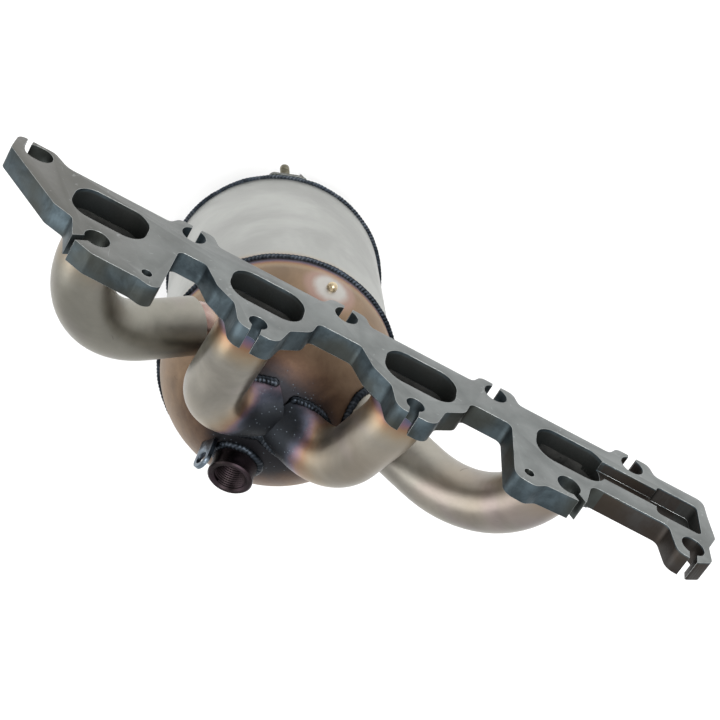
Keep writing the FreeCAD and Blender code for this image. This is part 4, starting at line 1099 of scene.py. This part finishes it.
def runner_routes():
    """Corner points and bend radii of each runner, from the flange's back to inside the dome."""
    first, second, third, fourth = PORTS
    lead = FLANGE_BACK / MM - OVAL_LENGTH / MM
    mm = 1 / MM
    routes = [
        [((first * mm, -81, 0), 49.5), ((first * mm + 63.6, -68.5, -56.4), 0)],
        [((second * mm, lead - 8, 0), 30), ((second * mm, -92, -22), 28), ((second * mm + 35, -80, -42), 0)],
        [((third * mm, lead - 8, 0), 30), ((third * mm - 10, -88, -20), 34), ((third * mm - 42, -84, -42), 0)],
        [((fourth * mm, -71, -8), 66), ((fourth * mm - 97, -73.5, -68), 0)],
    ]
    result = []
    for port, corners in zip(PORTS, routes):
        points = [Vector((port, FLANGE_BACK, 0))] + [Vector(point) * MM for point, _ in corners]
        result.append((points, [0.0] + [bend * MM for _, bend in corners]))
    return result


def neck_route():
    """The slip neck of runner 1: from inside the runner's end into the dome."""
    points, _ = runner_routes()[0]
    end = points[-1]
    way = (points[-1] - points[-2]).normalized()
    return [end - way * 9 * MM, end + way * 7 * MM, Vector((-30, -86, -84)) * MM], [0.0, 20 * MM, 0.0]


def tube_mesh(points, bends, radius, port, oval, closed, seed=0.0, waviness=0.0, sides=96, grow=0.0):
    values = {"Radius": radius + grow, "Sides": sides, "Port": port, "Oval": oval, "Closed": closed,
              "Half Width": PORT_HALF_X + 1.5 * MM + grow, "Half Height": PORT_HALF_Z + 1.5 * MM + grow,
              "Corner": PORT_CORNER + 1.5 * MM + grow, "Seed": seed, "Waviness": waviness,
              "Step": 1.6 * MM, "Material": material("tube")}
    mesh = shaped("bent_tube", path_mesh(points, bends), values)
    facing_out(mesh)
    return mesh


def columns_of(points, bends, radius, sides=72):
    """Lines that run along a tube's wall, side by side round it."""
    mesh = shaped("bent_tube", path_mesh(points, bends),
                  {"Radius": radius, "Sides": sides, "Port": 0.0, "Oval": 0.0, "Closed": False,
                   "Waviness": 0.0, "Step": 1.2 * MM, "Material": material("tube")})
    verts = [vert.co.copy() for vert in mesh.vertices]
    rings = [verts[index:index + sides] for index in range(0, len(verts), sides)]
    if (rings[0][0] - points[0]).length > (rings[-1][0] - points[0]).length:
        rings.reverse()
    return [[ring[side] for ring in rings] for side in range(sides)]


def meeting_line(columns, wall):
    """Where each line first goes through the wall; lines that never do are left out."""
    tree = bvh_of(wall)
    line = []
    for column in columns:
        for start, end in zip(column, column[1:]):
            step = end - start
            hit = tree.ray_cast(start, step.normalized(), step.length)
            if hit[0] is not None:
                line.append(hit[0])
                break
    return line


def bvh_of(mesh):
    return BVHTree.FromPolygons([vert.co for vert in mesh.vertices],
                                [tuple(face.vertices) for face in mesh.polygons])


def facing(base, way):
    """A frame at base whose Z is way."""
    return Matrix.Translation(base) @ way.to_track_quat("Z", "Y").to_matrix().to_4x4()


def upper_boss_place():
    base = CAT @ (Vector((-5, -34.7, 48.2)) * MM)
    return facing(base, CAT.to_3x3() @ Vector((-0.08, -0.47, 0.88)))


def lower_boss_place():
    base = CAT @ (Vector((0, -47, -26)) * MM - Vector((0, 0, CAT_LENGTH)))
    return facing(base, CAT.to_3x3() @ Vector((0, -0.74, -0.67)))


def sensor_drill(place):
    """A closed cylinder that opens the wall under a boss."""
    reach = 30 * MM
    drill = lathe([(0, -reach), (BOSS_BORE, -reach), (BOSS_BORE, reach), (0, reach)], 64, closed=False)
    drill.transform(place)
    return drill


def round_route(radius, steps):
    """Points on a level circle about the catalyst's axis."""
    turns = [2 * math.pi * step / steps for step in range(steps)]
    return [Vector((radius * math.cos(turn), radius * math.sin(turn), 0)) for turn in turns]


def thread_on(place, radius, length, pitch, depth, slot):
    """A screw thread about a frame's Z, from its origin up."""
    thread = shaped("screw_thread", bpy.data.meshes.new("seed"),
                    {"Radius": radius, "Length": length, "Pitch": pitch, "Depth": depth,
                     "Material": material(slot)})
    facing_out(thread)
    thread.transform(place)
    return thread


def bead(route, bends, closed, radius, seed, **more):
    """A round weld bead along a route."""
    welds = bpy.context.scene.manifold_welds
    values = {"Width": 2 * radius, "Height": radius, "Ripple Pitch": welds.pitch, "Ripple Depth": welds.depth,
              "Lumps": 0.9 * MM, "Wander": 0.7 * MM, "Level": False, "Seed": seed, "Sides": 16,
              "Step": 0.42 * MM, "Material": material("weld")}
    values.update(more)
    mesh = shaped("weld_bead", path_mesh(route, bends, closed), values)
    facing_out(mesh)
    return mesh


# ---------------------------------------------------------------- operators


class MANIFOLD_OT_flange(bpy.types.Operator):
    """Makes the head flange with broken edges and a ground face"""
    bl_idname = "manifold.flange"
    bl_label = "Head Flange"

    def execute(self, context):
        mesh = softened(merged_copy("head_flange"), 0.45 * MM, [material("flange"), material("edge")])
        piece("head_flange_plate", mesh, ["head_flange"])
        return {"FINISHED"}


class MANIFOLD_OT_runners(bpy.types.Operator):
    """Makes the four bent runners and the slip neck"""
    bl_idname = "manifold.runners"
    bl_label = "Runners"

    def execute(self, context):
        tubes = context.scene.manifold_tubes
        radius = tubes.diameter / 2
        routes = runner_routes()
        bars = [tube_mesh(points, bends, radius, port, 1.0, True)
                for port, (points, bends) in zip(PORTS, routes)]
        for index, (port, (points, bends)) in enumerate(zip(PORTS, routes)):
            mesh = tube_mesh(points, bends, radius, port, 1.0, False, 3.0 * index, tubes.waviness, tubes.sides)
            painted(mesh, "tube", "soot", "tube")
            mesh = modified(mesh, "SOLIDIFY", thickness=tubes.wall, offset=-1, use_even_offset=True,
                            material_offset=1, material_offset_rim=2)
            if index > 0:
                mesh = without(mesh, dome_tool())
            if index == 1:
                mesh = without(mesh, bars[2])
            if index == 0:
                mesh = joined([mesh, self.rolled_lip(points, radius, tubes.neck_diameter / 2)])
            piece("runner_tube_%d" % (index + 1), mesh, ["runner_%d" % (index + 1)])
        points, bends = neck_route()
        mesh = tube_mesh(points, bends, tubes.neck_diameter / 2, 0.0, 0.0, False, 9.0, 0.0, tubes.sides)
        painted(mesh, "neck", "soot", "neck")
        mesh = modified(mesh, "SOLIDIFY", thickness=tubes.wall, offset=-1, use_even_offset=True,
                        material_offset=1, material_offset_rim=2)
        mesh = without(mesh, dome_tool())
        piece("runner_neck_1", mesh, ["runner_1_neck"])
        return {"FINISHED"}

    def rolled_lip(self, points, radius, neck_radius):
        """The end of runner 1, rolled in round the slip neck."""
        roll = 2.2 * MM
        inner = neck_radius + 0.1 * MM
        outline = [(inner, -2.5 * MM), (radius - 0.02 * MM, -2.5 * MM)]
        outline += arc((radius - roll, -roll + 0.4 * MM), roll, 0, 90, 8) + [(inner, 0.2 * MM)]
        lip = painted(lathe(outline, 96), "tube")
        lip.transform(facing(points[-1], points[-1] - points[-2]))
        return lip


class MANIFOLD_OT_dome(bpy.types.Operator):
    """Makes the pressed inlet dome, its plug and the eye tab"""
    bl_idname = "manifold.dome"
    bl_label = "Inlet Dome"

    def execute(self, context):
        tubes = context.scene.manifold_tubes
        outer = dome_outline()
        inner = dome_outline(SHEET)
        inner[0] = (inner[0][0], 0.0)
        mesh = lathe(outer + inner[::-1], 200, closed=True)
        mesh.transform(CAT)
        painted(mesh, "dome", "soot")
        cuts = [tube_mesh(points, bends, tubes.diameter / 2 - tubes.wall, 0.0, 0.0, True)
                for points, bends in runner_routes()[1:]]
        points, bends = neck_route()
        cuts.append(tube_mesh(points, bends, tubes.neck_diameter / 2 - tubes.wall, 0.0, 0.0, True))
        mesh = without(mesh, *cuts, sensor_drill(upper_boss_place()))
        piece("dome_pressing", mesh, ["inlet_dome"])
        plug = softened(merged_copy("dome_plug"), 0.1 * MM, [material("plug")])
        piece("plug_dome", plug, ["dome_plug"])
        tab = softened(merged_copy("eye_tab"), 0.35 * MM, [material("tab")])
        piece("eye_tab_stamping", tab, ["eye_tab"])
        return {"FINISHED"}


class MANIFOLD_OT_bosses(bpy.types.Operator):
    """Makes the two sensor bosses with their threads"""
    bl_idname = "manifold.bosses"
    bl_label = "Sensor Bosses"

    def execute(self, context):
        for name, place, tool, node in (
                ("upper_boss", upper_boss_place(), dome_tool(), "upstream_boss"),
                ("lower_boss", lower_boss_place(), cone_tool(), "downstream_boss")):
            chamfer = 0.8 * MM
            top = BOSS_HEIGHT
            lip = BOSS_BORE + 1.1 * MM
            outline = [(BOSS_BORE, -BOSS_SINK), (BOSS_RADIUS, -BOSS_SINK), (BOSS_RADIUS, 5.2 * MM),
                       (BOSS_RADIUS - 0.35 * MM, 5.8 * MM), (BOSS_RADIUS - 0.35 * MM, top - 3.4 * MM),
                       (BOSS_RADIUS, top - 2.9 * MM), (BOSS_RADIUS, top - chamfer), (BOSS_RADIUS - chamfer, top),
                       (lip, top), (BOSS_BORE, top - 1.1 * MM)]
            mesh = painted(lathe(outline, 96), "boss")
            mesh.transform(place)
            mesh = painted(without(mesh, tool), "boss")
            thread = thread_on(place @ Matrix.Translation((0, 0, 2 * MM)), BOSS_BORE + 0.2 * MM,
                               top - 4 * MM, 1.5 * MM, 0.7 * MM, "boss")
            piece(name, joined([mesh, thread]), [node], angle=30)
        return {"FINISHED"}


class MANIFOLD_OT_catalyst(bpy.types.Operator):
    """Makes the catalyst's shell and outlet cone"""
    bl_idname = "manifold.catalyst"
    bl_label = "Catalyst Shell"

    def execute(self, context):
        inner = CAT_RADIUS - SHEET
        rows = 56
        outside = [(CAT_RADIUS, -CAT_LENGTH * step / rows) for step in range(rows + 1)]
        inside = [(inner, -CAT_LENGTH), (inner, 0.0)]
        mesh = lathe(outside + inside, 200)
        mesh.transform(CAT)
        piece("shell_tube", mesh, ["catalyst_shell"], [material("shell")])
        outer = cone_outline()
        bore = PIPE_RADIUS + SLIP_GAP
        lining = [(max(radius, bore), height) for radius, height in cone_outline(SHEET)]
        mesh = lathe(outer + lining[::-1], 160)
        mesh.transform(CAT @ Matrix.Translation((0, 0, -CAT_LENGTH)))
        painted(mesh, "shell")
        mesh = without(mesh, sensor_drill(lower_boss_place()))
        piece("cone_pressing", mesh, ["outlet_cone"])
        return {"FINISHED"}


class MANIFOLD_OT_welds(bpy.types.Operator):
    """Lays every weld bead: flange, saddles, bosses, seams and outlet"""
    bl_idname = "manifold.welds"
    bl_label = "Weld Beads"

    def execute(self, context):
        welds = context.scene.manifold_welds
        tubes = context.scene.manifold_tubes
        self.flange_beads(welds)
        self.saddle_beads(welds, tubes)
        self.boss_beads()
        self.seam_beads(welds)
        self.pipe_beads()
        return {"FINISHED"}

    def flange_beads(self, welds):
        outward = 3.0 * MM
        half_x = PORT_HALF_X + outward
        half_z = PORT_HALF_Z + outward
        bend = PORT_CORNER + outward
        depth = FLANGE_BACK - 0.25 * welds.flange_bead
        for index, port in enumerate(PORTS):
            corners = [(half_x, half_z), (-half_x, half_z), (-half_x, -half_z), (half_x, -half_z)]
            route = [Vector((port + x, depth, z)) for x, z in corners]
            mesh = bead(route, [bend] * 4, True, welds.flange_bead, 11.0 + index)
            piece("flange_bead_%d" % (index + 1), mesh, ["flange_weld_%d" % (index + 1)], angle=60)

    def saddle_beads(self, welds, tubes):
        tool = dome_tool()
        routes = [neck_route()] + runner_routes()[1:]
        for index, (points, bends) in enumerate(routes):
            radius = tubes.neck_diameter / 2 if index == 0 else tubes.diameter / 2
            line = meeting_line(columns_of(points, bends, radius), tool)
            mesh = bead(line, None, True, welds.saddle_bead, 21.0 + index, Lumps=1.6 * MM)
            piece("saddle_bead_%d" % (index + 1), mesh, ["saddle_weld_%d" % (index + 1)], angle=60)

    def boss_beads(self):
        for name, place, tool, node in (
                ("boss_bead_upper", upper_boss_place(), dome_tool(), "upstream_boss_weld"),
                ("boss_bead_lower", lower_boss_place(), cone_tool(), "downstream_boss_weld")):
            columns = []
            for step in range(72):
                turn = 2 * math.pi * step / 72
                x = BOSS_RADIUS * math.cos(turn)
                y = BOSS_RADIUS * math.sin(turn)
                columns.append([place @ Vector((x, y, BOSS_HEIGHT)), place @ Vector((x, y, -3 * BOSS_SINK))])
            line = meeting_line(columns, tool)
            mesh = bead(line, None, True, 2.5 * MM, 31.0, Lumps=1.5 * MM)
            piece(name, mesh, [node], angle=60)

    def seam_beads(self, welds):
        for name, node, lift, rise, seed in (
                ("seam_bead_inlet", "inlet_seam_weld", 0.0, welds.seam_height, 41.0),
                ("seam_bead_outlet", "outlet_seam_weld", -CAT_LENGTH - 1.2 * MM, 0.5 * welds.seam_height, 42.0)):
            mesh = bead(round_route(CAT_RADIUS, 160), None, True, 1.0, seed, Width=welds.seam_width, Height=rise,
                        Level=True, Lumps=0.5 * MM, Wander=0.9 * MM)
            mesh.transform(CAT @ Matrix.Translation((0, 0, lift)))
            piece(name, mesh, [node], angle=60)

    def pipe_beads(self):
        radius = PIPE_RADIUS + 0.8 * MM
        foot = -CAT_LENGTH - CONE_DEPTH
        plate_top = foot + PIPE_LAP - PIPE_LENGTH - OUTLET_PLATE_LIFT + OUTLET_PLATE
        for name, node, lift, seed in (("pipe_bead", "outlet_pipe_weld", foot - 0.4 * MM, 51.0),
                                       ("outlet_flange_bead", "outlet_flange_weld", plate_top + 0.4 * MM, 52.0)):
            mesh = bead(round_route(radius, 96), None, True, 1.9 * MM, seed, Level=True, Lumps=0.5 * MM)
            mesh.transform(CAT @ Matrix.Translation((0, 0, lift)))
            piece(name, mesh, [node], angle=60)


class MANIFOLD_OT_outlet(bpy.types.Operator):
    """Makes the outlet pipe, its flange and the threaded studs"""
    bl_idname = "manifold.outlet"
    bl_label = "Outlet"

    def execute(self, context):
        pipe_top = -CAT_LENGTH - CONE_DEPTH + PIPE_LAP
        wall = [(PIPE_RADIUS, 0.0), (PIPE_RADIUS, -PIPE_LENGTH + 0.6 * MM), (PIPE_RADIUS - 0.4 * MM, -PIPE_LENGTH),
                (PIPE_RADIUS - 1.1 * MM, -PIPE_LENGTH), (PIPE_RADIUS - SHEET, -PIPE_LENGTH + 0.6 * MM),
                (PIPE_RADIUS - SHEET, 0.0)]
        mesh = lathe(wall, 128)
        mesh.transform(CAT @ Matrix.Translation((0, 0, pipe_top)))
        piece("outlet_pipe_tube", mesh, ["outlet_pipe"], [material("shell")])
        plate = softened(merged_copy("outlet_flange"), 0.5 * MM, [material("plate"), material("edge")])
        piece("outlet_flange_plate", plate, ["outlet_flange"])
        self.studs(pipe_top - PIPE_LENGTH - OUTLET_PLATE_LIFT + OUTLET_PLATE)
        return {"FINISHED"}

    def studs(self, plate_top):
        head = 3 * MM
        core = 4.45 * MM
        crest = 5 * MM
        shank = 5.5 * MM
        wide = 7 * MM
        waist = 10.6 * MM
        length = 27 * MM
        foot = -waist - length
        outline = [(0, foot), (core - 1.2 * MM, foot), (core, foot + 1.2 * MM), (core, -waist - 4 * MM),
                   (crest, -waist - 3.4 * MM), (crest, -waist), (shank, -waist), (shank, -0.2 * MM),
                   (wide, -0.2 * MM), (wide, head - 0.6 * MM), (wide - 0.6 * MM, head), (0, head)]
        meshes = []
        for index in range(2):
            turn = math.radians(27 + 180 * index)
            place = CAT @ Matrix.Translation((41.5 * MM * math.cos(turn), 41.5 * MM * math.sin(turn), plate_top))
            stud = painted(lathe(outline, 48, closed=False), "fastener")
            stud.transform(place)
            thread = thread_on(place @ Matrix.Translation((0, 0, foot + 1 * MM)), core, length - 6 * MM,
                               1.25 * MM, 0.52 * MM, "fastener")
            meshes += [stud, thread]
        piece("outlet_stud_set", joined(meshes), ["outlet_studs"], angle=30)


class MANIFOLD_OT_bracket(bpy.types.Operator):
    """Makes the heat-shield bracket and its threaded stud"""
    bl_idname = "manifold.bracket"
    bl_label = "Shield Bracket"

    def execute(self, context):
        plate = softened(merged_copy("shield_bracket"), 0.4 * MM, [material("plate"), material("edge")])
        piece("shield_bracket_plate", plate, ["shield_bracket"])
        turn = Matrix.Rotation(math.radians(19.5), 4, "Z")
        place = CAT @ turn @ Matrix.Translation(Vector((0, 54, -31)) * MM - Vector((0, 0, CAT_LENGTH)))
        core = 2.65 * MM
        foot = -29.5 * MM
        outline = [(0, foot), (core - 0.7 * MM, foot), (core, foot + 0.8 * MM), (core, -1.6 * MM),
                   (3 * MM, -1.2 * MM), (3.4 * MM, -0.6 * MM), (3.4 * MM, 3 * MM), (0, 3 * MM)]
        stud = painted(lathe(outline, 40, closed=False), "fastener")
        stud.transform(place)
        thread = thread_on(place @ Matrix.Translation((0, 0, foot + 1.2 * MM)), core, 26.4 * MM,
                           1.0 * MM, 0.34 * MM, "fastener")
        piece("shield_stud_threaded", joined([stud, thread]), ["shield_stud"], angle=30)
        return {"FINISHED"}


class MANIFOLD_OT_filling(bpy.types.Operator):
    """Gives the bricks, mats and seals inside the shell their finish"""
    bl_idname = "manifold.filling"
    bl_label = "Catalyst Filling"

    def execute(self, context):
        finishes = {"brick_front": "ceramic", "brick_rear": "ceramic", "mat_front": "mat", "mat_rear": "mat",
                    "seal_inlet": "mesh", "seal_outlet": "mesh"}
        for node, name in finishes.items():
            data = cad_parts[node].data
            if not data.materials:
                data.materials.append(material(name))
            for index in range(len(data.materials)):
                data.materials[index] = material(name)
        return {"FINISHED"}


class MANIFOLD_OT_stage(bpy.types.Operator):
    """Lays the floor and sets the lights and the camera"""
    bl_idname = "manifold.stage"
    bl_label = "Stage"

    def execute(self, context):
        stage = context.scene.manifold_stage
        low = CAD_BOX[0][2] - 0.5 * MM
        mesh = bpy.data.meshes.new("floor")
        reach = 6.0
        mesh.from_pydata([(-reach, -reach, low), (reach, -reach, low), (reach, reach, low), (-reach, reach, low)],
                         [], [(0, 1, 2, 3)])
        mesh.materials.append(material("floor"))
        linked("floor", mesh)
        world = bpy.data.worlds.new("room")
        world.use_nodes = True
        background = world.node_tree.nodes["Background"]
        background.inputs["Color"].default_value = (1, 1, 1, 1)
        background.inputs["Strength"].default_value = stage.sky
        context.scene.world = world
        self.area("key", (0.25, 0.9, 1.3), 1.1, stage.key_power)
        self.area("fill", (-1.1, -0.5, 0.8), 1.2, stage.fill_power)
        self.camera(context)
        context.scene.view_settings.view_transform = "Standard"
        return {"FINISHED"}

    def area(self, name, place, size, power):
        light = bpy.data.lights.new(name, "AREA")
        light.shape = "DISK"
        light.size = size
        light.energy = power
        lamp = linked(name, light)
        target = Vector((0, -0.06, -0.06))
        lamp.location = place
        lamp.rotation_euler = (target - Vector(place)).to_track_quat("-Z", "Y").to_euler()

    def camera(self, context):
        """A long lens above the gasket side; its axes are right, up and back."""
        right = Vector((0.8782, 0.462, -0.1235)).normalized()
        back = Vector((-0.1324, 0.4829, 0.8656)).normalized()
        up = back.cross(right).normalized()
        lens = bpy.data.cameras.new("camera")
        lens.lens = 100
        lens.sensor_width = 36
        camera = linked("camera", lens)
        camera.matrix_world = Matrix((
            (right.x, up.x, back.x, -0.1187), (right.y, up.y, back.y, 0.4710),
            (right.z, up.z, back.z, 0.8586), (0, 0, 0, 1)))
        context.scene.camera = camera


class MANIFOLD_PT_sidebar(bpy.types.Panel):
    """Lists the builder's steps and sizes"""
    bl_idname = "MANIFOLD_PT_sidebar"
    bl_label = "Exhaust Manifold"
    bl_space_type = "VIEW_3D"
    bl_region_type = "UI"
    bl_category = "Manifold"

    def draw(self, context):
        for step in STEPS:
            self.layout.operator(step.bl_idname)
        for name in SETTINGS:
            settings = getattr(context.scene, name)
            box = self.layout.box()
            for key in settings.__annotations__:
                box.prop(settings, key)


STEPS = (MANIFOLD_OT_flange, MANIFOLD_OT_runners, MANIFOLD_OT_dome, MANIFOLD_OT_bosses, MANIFOLD_OT_catalyst,
         MANIFOLD_OT_welds, MANIFOLD_OT_outlet, MANIFOLD_OT_bracket, MANIFOLD_OT_filling, MANIFOLD_OT_stage)
SETTINGS = {"manifold_tubes": ManifoldTubes, "manifold_welds": ManifoldWelds,
            "manifold_finish": ManifoldFinish, "manifold_stage": ManifoldStage}


def register():
    for group in (*SETTINGS.values(), *STEPS, MANIFOLD_PT_sidebar):
        bpy.utils.register_class(group)
    for name, group in SETTINGS.items():
        setattr(bpy.types.Scene, name, PointerProperty(type=group))


def unregister():
    for name in SETTINGS:
        delattr(bpy.types.Scene, name)
    for group in (MANIFOLD_PT_sidebar, *reversed(STEPS), *SETTINGS.values()):
        bpy.utils.unregister_class(group)


def main():
    register()
    for step in STEPS:
        group, name = step.bl_idname.split(".")
        getattr(getattr(bpy.ops, group), name)()


if __name__ == "__main__":
    main()
